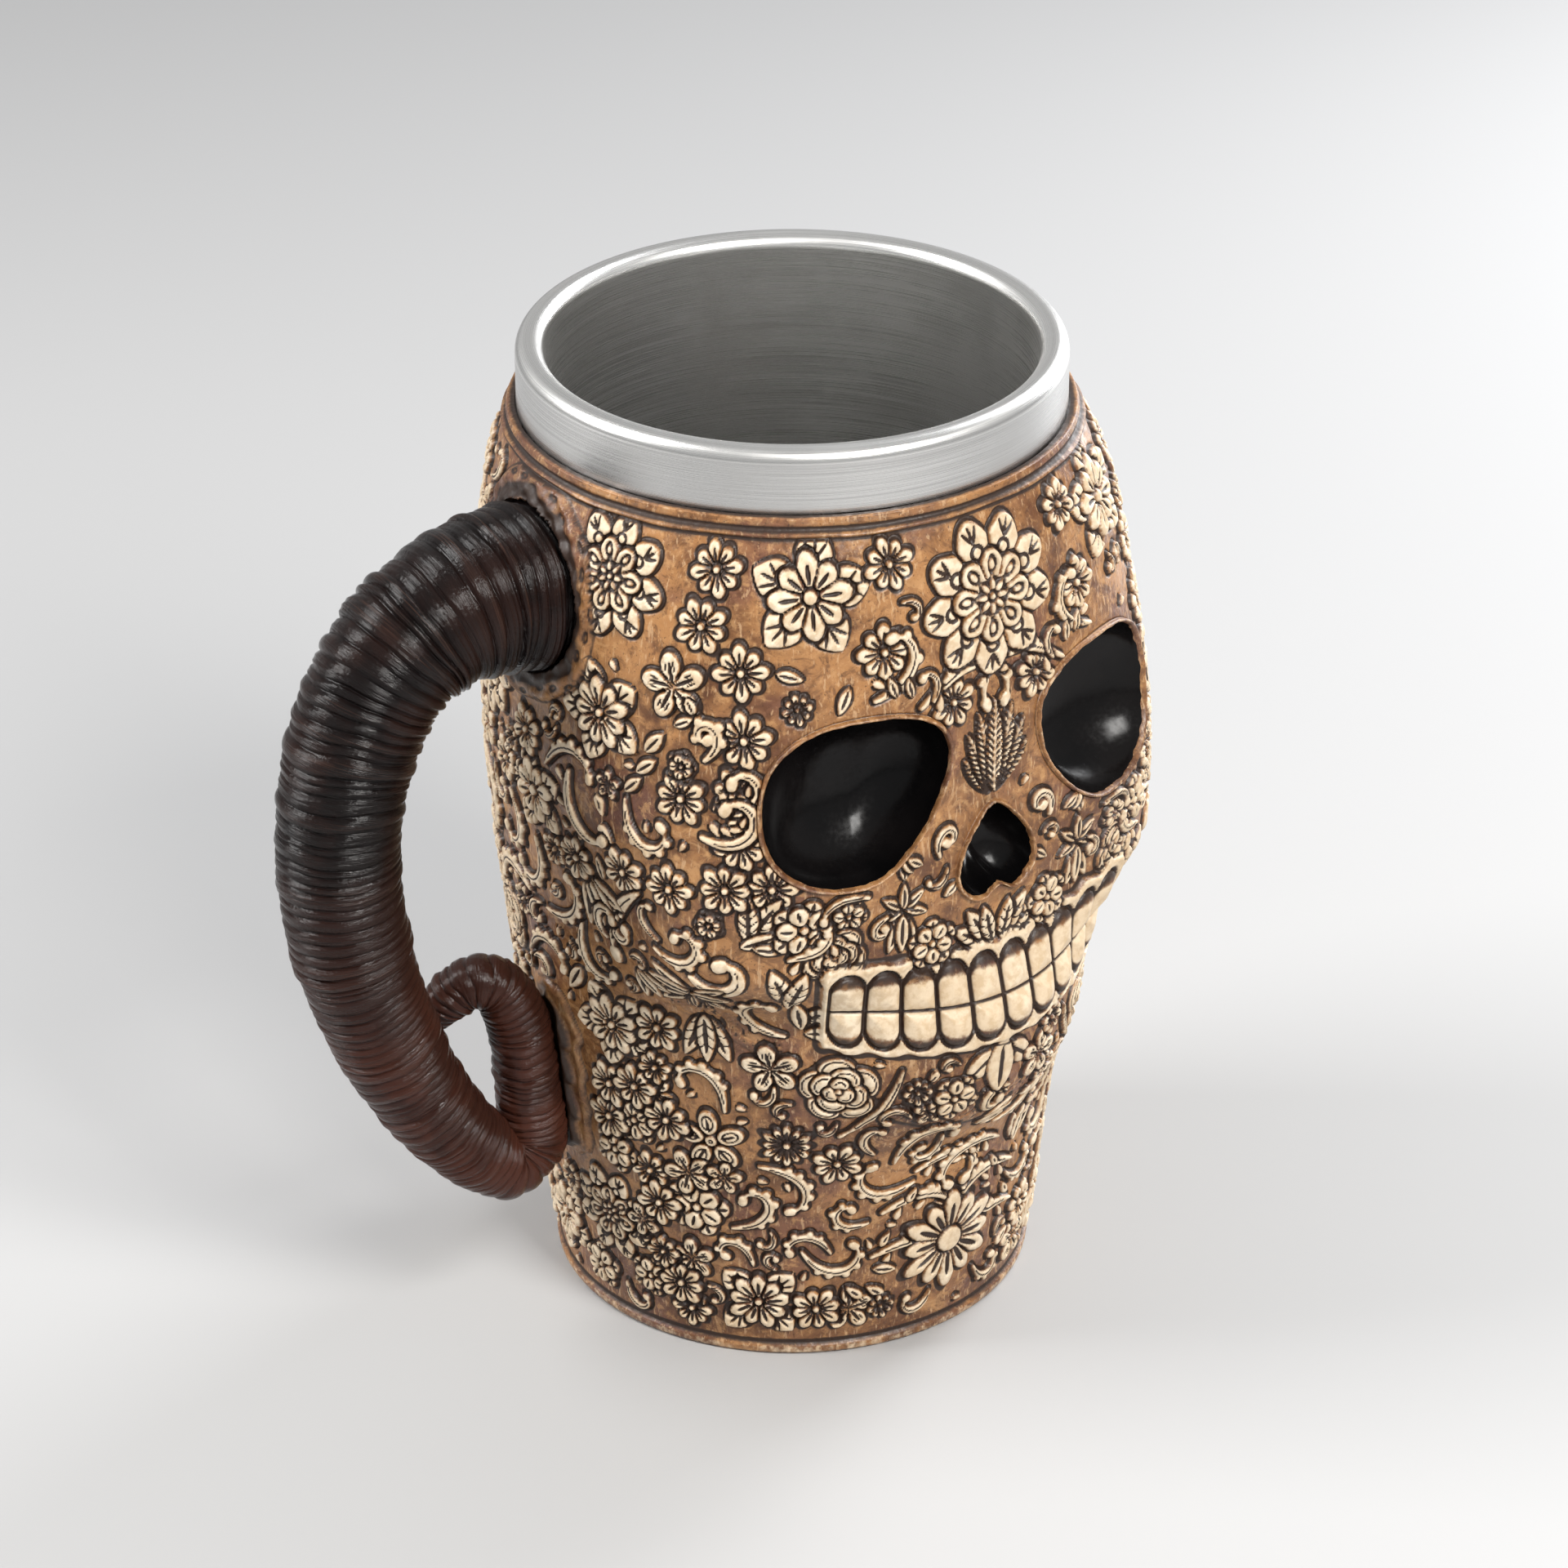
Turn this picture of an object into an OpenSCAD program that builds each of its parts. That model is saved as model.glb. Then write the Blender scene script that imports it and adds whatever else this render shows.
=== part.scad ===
// Skull mug: a cast resin skull around a drawn steel cup, with a ram's horn handle.
// Millimetres. The origin is on the cup's axis at the table, +Z is up and the face looks along -Y.

/* [Steel cup] */
// Height of the rim above the table
mug_h = 158; // [152:1:172]
// Height of the steel that shows above the resin
rim_show = 10; // [8:0.5:14]
// Outside radius of the rim band
rim_r = 41.5; // [40:0.5:43]
// Width of the lip, from the mouth to the rim band's outside
lip_w = 4.3; // [3.6:0.1:6]
// How much narrower the cup is inside at its floor than at its mouth
cup_taper = 5.2; // [3:0.2:8]
// Radius of the curve between wall and floor
cup_corner_r = 8; // [4:0.5:12]
// Thickness of the drawn sheet
sheet_t = 0.8; // [0.5:0.1:1]
// Depth of the groove that seats the band's lower edge
band_seat = 1.5; // [1:0.1:2.5]
// Clearance between the steel and the resin
steel_gap = 0.25; // [0.15:0.05:0.4]

/* [Resin shell] */
// Thickness of the resin round the cup at the foot
foot_w = 5.55; // [4:0.05:8]
// Height of the chamfer round the foot
foot_edge = 1.2; // [0.6:0.2:2.4]
// How far the round form's temples stand out of the neck
temple_out = 4.85; // [4:0.05:6.5]
// Drop from the top of the shell to the temples
temple_drop = 54; // [50:1:60]
// Width of the resin neck around the band
neck_w = 1.7; // [1.2:0.1:2.4]
// Thickness of resin under the cup
shell_floor_t = 8; // [6:0.5:10]

/* [Cheekbones and brow] */
// How far the cheekbones and brow corners stand out
cheek_out = 8.2; // [6:0.2:9]
// How far the cheekbones lie below the eyes
cheek_below = 23.2; // [21:0.2:25]
// Height over which the cheekbone steps in to the jaw
cheek_drop = 17.5; // [14:0.5:19]
// Direction of the cheekbones from the middle of the face
cheek_az = 50; // [46:1:54]
// Half the angle that a cheekbone takes up towards the nose
cheek_inner = 27; // [22:1:32]
// Half the angle that a cheekbone takes up towards the ear
cheek_outer = 32; // [28:1:36]

/* [Eye sockets] */
// Drop from the top of the shell to the socket centres
eye_drop = 42.8; // [40:0.2:45]
// Direction of the socket centres
eye_az = 27.3; // [26:0.1:29]
// Half the width of a socket
eye_w = 13.8; // [12:0.2:14.4]
// Half the height of a socket
eye_v = 13.4; // [12:0.2:14]
// Depth of the socket bowl
eye_deep = 10; // [6:0.5:11]
// How far the bone ring round a socket stands out
eye_ring = 0.9; // [0.4:0.1:1.4]

/* [Nose] */
// How far the nose cavity's upper point lies below the socket centres
nose_below = 6.6; // [5:0.2:8]
// Height of the nose cavity
nose_v = 15.4; // [13:0.2:16]
// Half the width of the nose cavity
nose_w = 6.6; // [5:0.1:7.4]
// Depth of the nose cavity
nose_deep = 7; // [4:0.5:8]

/* [Jaw and teeth] */
// How far the muzzle stands out in front
muzzle_out = 6; // [4:0.5:7]
// Half the angle that the muzzle takes up
muzzle_spread = 35; // [32:1:40]
// How far the line between the two rows of teeth lies below the socket centres
bite_below = 38; // [37:0.2:39]
// How far that line rises to the ends of the rows
bite_rise = 2.6; // [1:0.2:3]
// Height of an upper tooth
upper_tooth = 6.8; // [6:0.1:7.2]
// Height of a lower tooth
lower_tooth = 6; // [5:0.1:6.6]
// Angle that one tooth takes up
tooth_az = 6.5; // [6:0.1:7]
// Teeth in half a row
half_teeth = 5; // [4:1:6]
// How far the teeth stand out of the gum
tooth_out = 1.5; // [0.8:0.1:2]
// How far the jaw's lower edge stands out of the neck
jaw_out = 1; // [0.5:0.1:1.5]
// Drop from the bite to the chin's lower edge
chin_drop = 24.2; // [22:0.2:26]

/* [Relief] */
// How far the cast flowers stand out of their ground
relief_out = 0.9; // [0.5:0.1:1.2]

/* [Horn handle] */
// Radius of the horn at its root
horn_r = 13.7; // [12:0.1:14]
// Drop from the top of the shell to the root's centre
root_drop = 19.4; // [18:0.2:21]
// How far the horn's outermost centre stands out from its root
horn_reach = 35.42; // [33:0.02:38]
// Height of the horn's lowest centre above the table
horn_low = 29.6; // [27:0.2:32]
// Angle by which the handle stands back from the mug's side
horn_turn = 6; // [0:1:10]
// How far the curled tip stands aside of the horn
tip_aside = 7.6; // [7:0.1:9]
// Ribs along the horn
ribs = 80; // [60:1:90]
// Height of a rib over its valley
rib_out = 0.55; // [0.2:0.05:0.8]
// How deep the horn's root sits in the skin
root_seat = 3.7; // [3.2:0.1:4]
// Glue gap round the horn's joints
glue_gap = 0.2; // [0.1:0.05:0.3]

/* [Dowels] */
// Radius of the upper dowel
upper_pin_r = 2.5; // [1.5:0.1:3]
// Length of the upper dowel
upper_pin_l = 12; // [8:0.5:14]
// How deep the upper dowel goes into the shell
upper_pin_in = 3; // [2:0.1:3.4]
// Radius of the lower dowel
lower_pin_r = 1.5; // [1:0.1:2]
// Length of the lower dowel
lower_pin_l = 8; // [6:0.5:9]
// How deep the lower dowel goes into the shell
lower_pin_in = 4; // [3:0.2:4.6]

/* [Hidden] */
$fn = 96;

// Overrun of every cut
over = 1;
// Steps of an arc in a turned profile
arc_steps = 10;

// Heights of the shell and of the skull's features
shell_h = mug_h - rim_show;
temple_h = shell_h - temple_drop;
eye_h = shell_h - eye_drop;
cheek_h = eye_h - cheek_below;
nose_top = eye_h - nose_below;
bite_h = eye_h - bite_below;
chin_h = bite_h - chin_drop;
horn_h = shell_h - root_drop;
horn_drop = horn_h - horn_low;

// Inside radius of the mouth, and of the cup's wall at the floor
mouth_r = rim_r - lip_w;
cup_floor_r = mouth_r - cup_taper;
// Radius of the resin neck around the band, of the temples and of the foot
neck_r = rim_r + steel_gap + neck_w;
temple_r = neck_r + temple_out;
foot_r = cup_floor_r + sheet_t + steel_gap + foot_w;
// Height of the cup's underside, on its bond pad
bond_t = shell_floor_t / 8;
cup_z = shell_floor_t + bond_t;
// Radius of the lip's half round, and the height of its centre
lip_r = lip_w / 2;
lip_z = mug_h - lip_r;
band_z = shell_h - band_seat + steel_gap;

// Rows of teeth and columns of the skull's grid
arch_az = tooth_az * half_teeth;
tooth_cols = 4;
side_cols = 10;
back_cols = 15;
side_az = 2 * arch_az;
// Points round the outlines of the sockets and of the nose
eye_points = 32;
nose_points = 24;
// Share of the socket's width that its inner side loses from the middle to the bottom
slant_share = 0.26;
// How square the socket's outline is, 2 for an ellipse
edge_power = 2.3;
// How pointed the top of the nose cavity is, how much lower than its middle it is widest, and its cleft
nose_power = 1.3;
nose_low_share = 0.35;
cleft_share = 0.17;
// How deep the gum lies between teeth, as a share of how far they stand out
gum_share = 0.4;

// Share of the round form's growth from foot to temple: nearly straight, then level
rise_share = 1.09;
rise_power = 8;
// How evenly the brow corners fade towards the neck
brow_power = 1.3;
// Share of its width towards the ear that a cheekbone lacks below the eyes
low_cheek_share = 0.4;
// Share of the muzzle that falls away above the teeth
lip_share = 0.64;
// How late the shoulder turns in to the neck
shoulder_power = 5.5;

// Flowers and leaf groups of the relief, each in a block of the grid's cells: its first and last column,
// counted from the side of the skull, its first and last row, and its petals. Each stands on both sides.
side_motif_counts = [
    [-16, -5, 39, 44, 6],
    [-2, 2, 39, 44, 7],
    [-2, 2, 33, 38, 6],
    [-7, -2, 34, 38, 5],
    [-19, -9, 37, 39, 5],
    [-5, 0, 28, 33, 5],
    [-23, -14, 23, 27, 5],
    [-13, -5, 23, 28, 6],
    [-8, -4, 16, 23, 4],
    [-4, 1, 15, 25, 5],
    [-16, -8, 10, 14, 6],
    [-7, -3, 10, 14, 5],
    [-1, 2, 9, 15, 6],
    [-24, -15, 6, 10, 5],
    [-6, -1, 6, 10, 5],
    [-19, -10, 2, 6, 5],
    [-8, -1, 1, 4, 6],
    [1, 4, 2, 6, 6],
    [3, 6, 28, 33, 5],
    [6, 9, 33, 38, 5],
    [10, 13, 37, 43, 5],
    [10, 13, 28, 34, 5],
    [10, 13, 17, 25, 5],
    [10, 13, 7, 13, 5],
    [6, 9, 3, 7, 5]
];
// Those in the middle of the face and of the back: half as many columns as the block has, rows and petals
face_motif_counts = [[10, 37, 44, 8], [4, 31, 36, 5], [6, 9, 14, 5], [9, 1, 6, 10]];
nape_motif_counts = [[2, 34, 41, 6], [2, 20, 29, 6], [2, 9, 14, 5], [2, 2, 6, 6]];
// A petal's outline: places along its turn of the circle, with the share of the motif's size that each is out
petal_shares = [[0, 0.58], [0.3, 1], [0.7, 1]];
// Share of its block that a motif takes, share of that at its top, and how high its middle lies
block_share = 0.9;
top_share = 0.88;
middle_share = 0.45;

// Centres of the horn from its root, as shares of its reach, its drop and its aside, with a share of its radius
horn_shares = [
    [0.0000, 0.000, 0.00, 0.995],
    [0.1281, -0.002, 0.00, 0.985],
    [0.2809, -0.002, 0.00, 0.925],
    [0.4652, 0.010, 0.00, 0.865],
    [0.6584, 0.045, 0.00, 0.815],
    [0.8157, 0.108, 0.00, 0.775],
    [0.9371, 0.203, 0.00, 0.745],
    [1.0000, 0.320, 0.00, 0.725],
    [1.0000, 0.430, 0.00, 0.710],
    [0.9438, 0.557, 0.00, 0.690],
    [0.8247, 0.691, 0.00, 0.645],
    [0.6539, 0.824, 0.00, 0.575],
    [0.4539, 0.930, 0.00, 0.510],
    [0.2539, 0.996, 0.00, 0.465],
    [0.1169, 0.968, 0.00, 0.435],
    [0.1191, 0.900, 0.03, 0.415],
    [0.1281, 0.830, 0.08, 0.400],
    [0.1506, 0.755, 0.16, 0.385],
    [0.2225, 0.694, 0.32, 0.365],
    [0.3258, 0.684, 0.56, 0.340],
    [0.4112, 0.712, 0.82, 0.300],
    [0.4562, 0.752, 1.00, 0.200]
];
horn_sides = 12;
rib_ease = 1.2;
// Places in that list between which the tail runs along the shell, that of its dowel, and the channel's steps
tail_low = 13.5;
tail_high = 17.5;
tail_pin = 14;
channel_steps = 8;

// Smooth step from 0 at a to 1 at b
function step(x, a, b) =
    let (t = min(1, max(0, (x - a) / (b - a))))
    t * t * (3 - 2 * t);

// Bell that is 1 at zero and falls off over the width w
function bell(x, w) = exp(-x * x / (w * w));

// A list of n values from a towards b, without b
function spread(a, b, n) = [for (i = [0:n - 1]) a + (b - a) * i / n];

// Points of an arc
function arc(cx, cy, r, from, to) =
    [for (i = [0:arc_steps])
        let (t = from + (to - from) * i / arc_steps)
        [cx + r * cos(t), cy + r * sin(t)]];

// Millimetres of arc for one degree at the temples
az_mm = PI * temple_r / 180;

// The plain round form: foot, temples and shoulder
function round_form(h) =
    h < temple_h
        ? let (t = h / temple_h)
          foot_r + (temple_r - foot_r) * (rise_share * t + (1 - rise_share) * pow(t, rise_power))
        : let (t = min(1, (h - temple_h) / (shell_h - temple_h)))
          neck_r + (temple_r - neck_r) * (1 - pow(t, shoulder_power));

// Cheekbones low down, brow corners above them, both sides of the face
function cheeks(az, h) =
    let (up = max(0, (h - cheek_h) / (shell_h - cheek_h)),
         along = step(h, cheek_h - cheek_drop, cheek_h - cheek_drop / 4) * (1 - pow(min(1, up), brow_power)),
         back = cheek_outer * (1 - low_cheek_share * (1 - step(h, cheek_h, eye_h))),
         past = abs(az) - cheek_az)
    cheek_out * along
    * (bell(past, past > 0 ? back : cheek_inner) + bell(abs(az) + cheek_az, cheek_inner));

// Muzzle: the chin, the arch that carries the teeth and the lip under the nose
function muzzle(az, h) =
    let (low = step(h, chin_h - 2 * lower_tooth, chin_h + 1.5 * lower_tooth),
         lip = 1 - lip_share * step(h, bite_h - lower_tooth, bite_h + 1.2 * upper_tooth),
         nose = 1 - step(h, nose_top - nose_v, nose_top + nose_v / 3))
    muzzle_out * low * lip * nose * bell(az, muzzle_spread);

// Height of the jaw's lower edge, which climbs to the ears
function jaw_line(az) = chin_h + (bite_h - chin_h) * step(abs(az), 0, 2 * arch_az + tooth_az);

// The ledge where the jaw stands out of the neck
function jaw(az, h) =
    jaw_out * step(h, jaw_line(az) - 3 * jaw_out, jaw_line(az) + 2 * jaw_out)
    * (1 - step(h, bite_h, cheek_h)) * bell(az, 2 * muzzle_spread);

// Distance from a socket's centre, 1 on its edge; the inner side narrows downwards
function socket(az, h) =
    let (x = (abs(az) - eye_az) * az_mm / eye_w,
         y = (h - eye_h) / eye_v,
         wide = x < 0 ? 1 + slant_share * max(-1, y) : 1)
    pow(pow(abs(x) / wide, edge_power) + pow(abs(y), edge_power), 1 / edge_power);

// The bone ring round a socket
function eye_rings(az, h) = eye_ring * bell(socket(az, h) - 1, 0.4);

// An outline point of the socket at the angle w, scaled by k: direction and height
function socket_edge(w, k) =
    let (x = sign(cos(w)) * pow(abs(cos(w)), 2 / edge_power),
         y = sign(sin(w)) * pow(abs(sin(w)), 2 / edge_power),
         wide = x < 0 ? 1 + slant_share * y : 1)
    [eye_az + k * x * wide * eye_w / az_mm, eye_h + k * y * eye_v];

// An outline point of the nose cavity, a heart upside down: a point at the top, two lobes below
function nose_edge(w, k) =
    let (x = nose_w * sign(sin(w)) * pow(abs(sin(w)), nose_power) * (1 - nose_low_share * cos(w)),
         cleft = cleft_share * nose_v * bell(x, nose_w / 3),
         down = (1 - cos(w)) / 2 * (nose_v - cleft))
    [k * x / az_mm, nose_top - nose_v / 2 + k * (nose_v / 2 - down)];

// The line of the bite at an azimuth
function bite(az) = bite_h + bite_rise * (1 - bell(az, arch_az)) / (1 - bell(arch_az, arch_az));

// Two rows of teeth; the gum between them lies lower
function teeth(az, h) =
    let (up = h - bite(az),
         v = up > 0 ? up / upper_tooth : -up / lower_tooth,
         inside = abs(az) < arch_az && v < 1)
    inside
        ? tooth_out * (sqrt(abs(sin(180 * az / tooth_az))) * sqrt(max(0, sin(180 * v))) - gum_share)
        : 0;

// The skull's outside radius, with no cavity
function skull_r(az, h) =
    round_form(h) + cheeks(az, h) + muzzle(az, h) + jaw(az, h) + teeth(az, h) + eye_rings(az, h);

// 1 at the foot, the gum, the neck and the horn's joints, which lie as high as the relief, 0 elsewhere
function plain(az, h) =
    let (out = (az + 90 + horn_turn) * az_mm,
         tail = [horn_curve(tail_pin)[1], horn_curve(tail_high)[1]],
         beside = max(0, tail[0] - h, h - tail[1]),
         foot = step(h, 3 * foot_edge, foot_edge),
         neck = step(h, shell_h - 3 * band_seat, shell_h - 2 * band_seat),
         arch = step(abs(az), arch_az + tooth_az, arch_az),
         gum = arch * step(abs(h - bite_h), 2 * upper_tooth, 1.3 * upper_tooth),
         root = step(norm([out, h - horn_h]), 1.4 * horn_r, horn_r),
         joint = step(norm([out, beside]), horn_r, horn_r / 2))
    max(foot, neck, gum, root, joint);

// Rows of the grid lift with the bite near the teeth
function lift(az, h) = (bite(az) - bite_h) * (1 - step(abs(h - bite_h), 1.1 * upper_tooth, 3 * upper_tooth));

skull_cols = concat(
    spread(-180, -side_az, back_cols),
    spread(-side_az, -arch_az, side_cols),
    spread(-arch_az, arch_az, 2 * half_teeth * tooth_cols),
    spread(arch_az, side_az, side_cols),
    spread(side_az, 180, back_cols));
// Its columns before the middle of the face, and from there to the side
middle_col = len([for (a = skull_cols) if (a < 0) a]);
side_col = len([for (a = skull_cols) if (a >= 0 && a < side_az) a]);

skull_rows = concat(
    [0],
    spread(foot_edge, chin_h - foot_edge * 5, 6),
    spread(chin_h - foot_edge * 5, bite_h - lower_tooth, 7),
    spread(bite_h - lower_tooth, bite_h, 4),
    spread(bite_h, bite_h + upper_tooth, 4),
    spread(bite_h + upper_tooth, eye_h - eye_v, 6),
    spread(eye_h - eye_v, eye_h + eye_v, 9),
    spread(eye_h + eye_v, shell_h - eye_v, 4),
    spread(shell_h - eye_v, shell_h, 5),
    [shell_h]);

function turned(az) = az > 180 ? az - 360 : az;

// A point of the skull's skin, from 0 on the relief's ground to 1 at its top
function skull_point(az, h, level) =
    let (z = h + lift(turned(az), h),
         edge = h == 0 ? foot_edge / 2 : 0,
         sunk = relief_out * (1 - level) * (1 - plain(turned(az), z)),
         r = skull_r(turned(az), z) - sunk - edge)
    [r * sin(az), -r * cos(az), z];

// Faces of a skin over rings of n points: triangles on the cells that are kept, one flat face at each end
function skin_faces(rings, n, kept) = concat(
    [for (j = [0:rings - 2], i = [0:n - 1]) if (kept(j, i)) for (half = [0, 1])
        let (a = j * n + i,
             b = j * n + (i + 1) % n)
        half == 0 ? [a, a + n, b] : [b, a + n, b + n]],
    [[for (i = [0:n - 1]) i], [for (i = [n - 1:-1:0]) (rings - 1) * n + i]]);

// A closed skin over rings of n points
module skin(points, n) {
    polyhedron(points, skin_faces(len(points) / n, n, function (j, i) true));
}

// Every motif as its block's first and last column and row, and its petals
motifs = concat(
    [for (m = face_motif_counts) [middle_col - m[0], middle_col + m[0], m[1], m[2], m[3]]],
    [for (m = nape_motif_counts) [len(skull_cols) - m[0], len(skull_cols) + m[0], m[1], m[2], m[3]]],
    [for (m = side_motif_counts) [middle_col + side_col + m[0], middle_col + side_col + m[1], m[2], m[3], m[4]]],
    [for (m = side_motif_counts) [middle_col - side_col - m[1], middle_col - side_col - m[0], m[2], m[3], m[4]]]);

// Azimuth of a column, which may be counted on past the end of the list
function col_az(i) =
    let (n = len(skull_cols))
    skull_cols[i % n] + 360 * floor(i / n);

// A motif's middle, and half the width and height that it takes
function motif_middle(m) = [(col_az(m[0]) + col_az(m[1])) / 2, (skull_rows[m[2]] + skull_rows[m[3]]) / 2];
function motif_half(m) =
    let (wide = (col_az(m[1]) - col_az(m[0])) / 2 * az_mm,
         tall = (skull_rows[m[3]] - skull_rows[m[2]]) / 2)
    block_share * [min(wide, 1.3 * tall), min(tall, 1.3 * wide)];

// A motif's outline, drawn in by a share, round its middle
function motif_outline(m, share) =
    let (half = motif_half(m))
    [for (k = [0:m[4] - 1], p = petal_shares)
        let (w = 90 + 360 * (k + p[0] - 0.5) / m[4])
        share * p[1] * [half[0] * cos(w), half[1] * sin(w)]];

// Points that a motif adds to the grid: its outline on the ground, the same at its top, and its middle
function motif_points(m) =
    let (c = motif_middle(m),
         place = function (p, level) skull_point(c[0] + p[0] / az_mm, c[1] + p[1], level))
    concat([for (p = motif_outline(m, 1)) place(p, 0)],
           [for (p = motif_outline(m, top_share)) place(p, 1)],
           [place([0, 0], middle_share)]);

// The grid points round a motif's block: column and row, anticlockwise as seen from outside
function block_edge(m) = concat(
    [for (i = [m[0]:m[1] - 1]) [i, m[2]]],
    [for (j = [m[2]:m[3] - 1]) [m[1], j]],
    [for (i = [m[1]:-1:m[0] + 1]) [i, m[3]]],
    [for (j = [m[3]:-1:m[2] + 1]) [m[0], j]]);

// Triangles between two loops round one middle, each a list of point number and angle that ends as it began
function zip(a, b, i = 0, j = 0) =
    let (more_a = i < len(a) - 1,
         more_b = j < len(b) - 1)
    !more_a && !more_b ? []
    : more_a && (!more_b || a[i + 1][1] <= b[j + 1][1])
        ? concat([[a[i + 1][0], a[i][0], b[j][0]]], zip(a, b, i + 1, j))
        : concat([[b[j][0], b[j + 1][0], a[i][0]]], zip(a, b, i, j + 1));

// Faces of a motif whose points start at a number: from its block to its outline, up its side, over its top
function motif_faces(m, start) =
    let (n = len(skull_cols),
         c = motif_middle(m),
         line = motif_outline(m, 1),
         k = len(line),
         first = atan2(line[0][1], line[0][0]),
         angle = function (x, y) (atan2(y, x) - first + 720) % 360,
         ring = [for (i = [0:k - 1]) [start + i, angle(line[i][0], line[i][1])]],
         edge = [for (g = block_edge(m))
             [g[1] * n + g[0] % n, angle((col_az(g[0]) - c[0]) * az_mm, skull_rows[g[1]] - c[1])]],
         least = min([for (e = edge) e[1]]),
         from = [for (i = [0:len(edge) - 1]) if (edge[i][1] == least) i][0],
         turn = [for (i = [0:len(edge) - 1]) edge[(from + i) % len(edge)]],
         last = turn[len(turn) - 1],
         round = concat([[last[0], last[1] - 360]], turn))
    concat(
        zip(round, concat(ring, [[start, 360]])),
        [for (i = [0:k - 1], half = [0, 1])
            let (a = start + i,
                 b = start + (i + 1) % k)
            half == 0 ? [b, a, a + k] : [a + k, b + k, b]],
        [for (i = [0:k - 1]) [start + k + (i + 1) % k, start + k + i, start + 2 * k]]);

// The skull's skin: the grid, with a motif in each block
module skull_form() {
    n = len(skull_cols);
    starts = running([for (m = motifs) 2 * len(petal_shares) * m[4] + 1], 0, n * len(skull_rows));
    kept = function (j, i)
        len([for (m = motifs) if (j >= m[2] && j < m[3] && (i - m[0] + 2 * n) % n < m[1] - m[0]) m]) == 0;
    polyhedron(
        concat(
            [for (h = skull_rows, az = skull_cols) skull_point(az, h, 0)],
            [for (m = motifs, p = motif_points(m)) p]),
        concat(
            skin_faces(len(skull_rows), n, kept),
            [for (i = [0:len(motifs) - 1], f = motif_faces(motifs[i], starts[i])) f]));
}

// A place on the skull's skin, sunk by a depth
function skin_place(edge, depth) =
    let (r = skull_r(edge[0], edge[1]) - depth)
    [r * sin(edge[0]), -r * cos(edge[0]), edge[1]];

// Sizes of a cavity's rings from its floor to its mouth, as shares of its outline and its depth
bowl_shares = [for (b = [78, 56, 36, 18, 0]) [pow(cos(b), 0.75), sin(b)]];

// A bowl that cuts a cavity: rings of points from the floor out past the skin, closed by a fan at each end
module bowl(rings) {
    n = len(rings[0]);
    last = len(rings) - 1;
    points = [for (ring = rings, p = ring) p];
    middle = function (ring) [for (axis = [0:2]) [for (p = ring) p[axis]] * [for (p = ring) 1 / n]];
    sides = [for (j = [0:last - 1], i = [0:n - 1], half = [0, 1])
        let (a = j * n + i,
             b = j * n + (i + 1) % n)
        half == 0 ? [a, a + n, b] : [b, a + n, b + n]];
    floor = [for (i = [0:n - 1]) [i, (i + 1) % n, len(points)]];
    mouth = [for (i = [0:n - 1]) [last * n + (i + 1) % n, last * n + i, len(points) + 1]];
    polyhedron(concat(points, [middle(rings[0]), middle(rings[last])]), concat(sides, floor, mouth));
}

module socket_bowl() {
    turns = [for (i = [0:eye_points - 1]) 360 * i / eye_points];
    bowl(concat(
        [for (k = bowl_shares) [for (w = turns) skin_place(socket_edge(w, k[0]), eye_deep * k[1])]],
        [[for (w = turns) skin_place(socket_edge(w, 1), -over)]]));
}

module nose_bowl() {
    turns = [for (i = [0:nose_points - 1]) -360 * (i + 0.5) / nose_points];
    bowl(concat(
        [for (k = bowl_shares) [for (w = turns) skin_place(nose_edge(w, k[0]), nose_deep * k[1])]],
        [[for (w = turns) skin_place(nose_edge(w, 1), -over)]]));
}

// Radius of the cup's outer wall at a height
function cup_r(z) = cup_floor_r + sheet_t + (mouth_r - cup_floor_r) * (z - cup_z) / (lip_z - cup_z);

// The room for the cup, its pad and the glue
module cup_room() {
    r = cup_r(cup_z) + steel_gap;
    top_r = cup_r(shell_h) + steel_gap;
    rotate_extrude()
        polygon(concat(
            [[0, shell_floor_t], [r - cup_corner_r, shell_floor_t]],
            arc(r - cup_corner_r, cup_z + cup_corner_r - steel_gap, cup_corner_r, -90, 0),
            [[top_r, shell_h], [top_r, shell_h + over], [0, shell_h + over]]));
}

// The groove in the neck that seats the band's lower edge
module band_groove() {
    translate([0, 0, shell_h - band_seat])
        difference() {
            cylinder(r = rim_r + steel_gap, h = band_seat + over);
            translate([0, 0, -over])
                cylinder(r = rim_r - sheet_t - steel_gap, h = band_seat + 3 * over);
        }
}

// Puts a child on the handle's plane: X runs out along the handle, Z is up
module at_handle() {
    rotate([0, 0, 180 - horn_turn])
        children();
}

// Distance of the horn's root from the cup's axis
root_x = round_form(horn_h) - root_seat;

// A horn centre in the handle's plane: distance out, height, aside and radius
function horn_knot(i) =
    let (k = horn_shares[max(0, min(len(horn_shares) - 1, i))])
    [root_x + k[0] * horn_reach, horn_h - k[1] * horn_drop, k[2] * tip_aside, k[3] * horn_r];

// A smooth curve through the horn's centres
function horn_curve(t) =
    let (i = min(len(horn_shares) - 2, floor(t)),
         u = t - i,
         a = horn_knot(i - 1),
         b = horn_knot(i),
         c = horn_knot(i + 1),
         d = horn_knot(i + 2))
    0.5 * (2 * b + (c - a) * u + (2 * a - 5 * b + 4 * c - d) * u * u + (3 * b - a - 3 * c + d) * u * u * u);

function horn_place(t) = let (p = horn_curve(t)) [p[0], -p[2], p[1]];

horn_spans = len(horn_shares) - 1;
horn_fine = 8;
horn_steps = [for (i = [1:horn_spans * horn_fine])
    norm(horn_place(i / horn_fine) - horn_place((i - 1) / horn_fine))];

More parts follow.
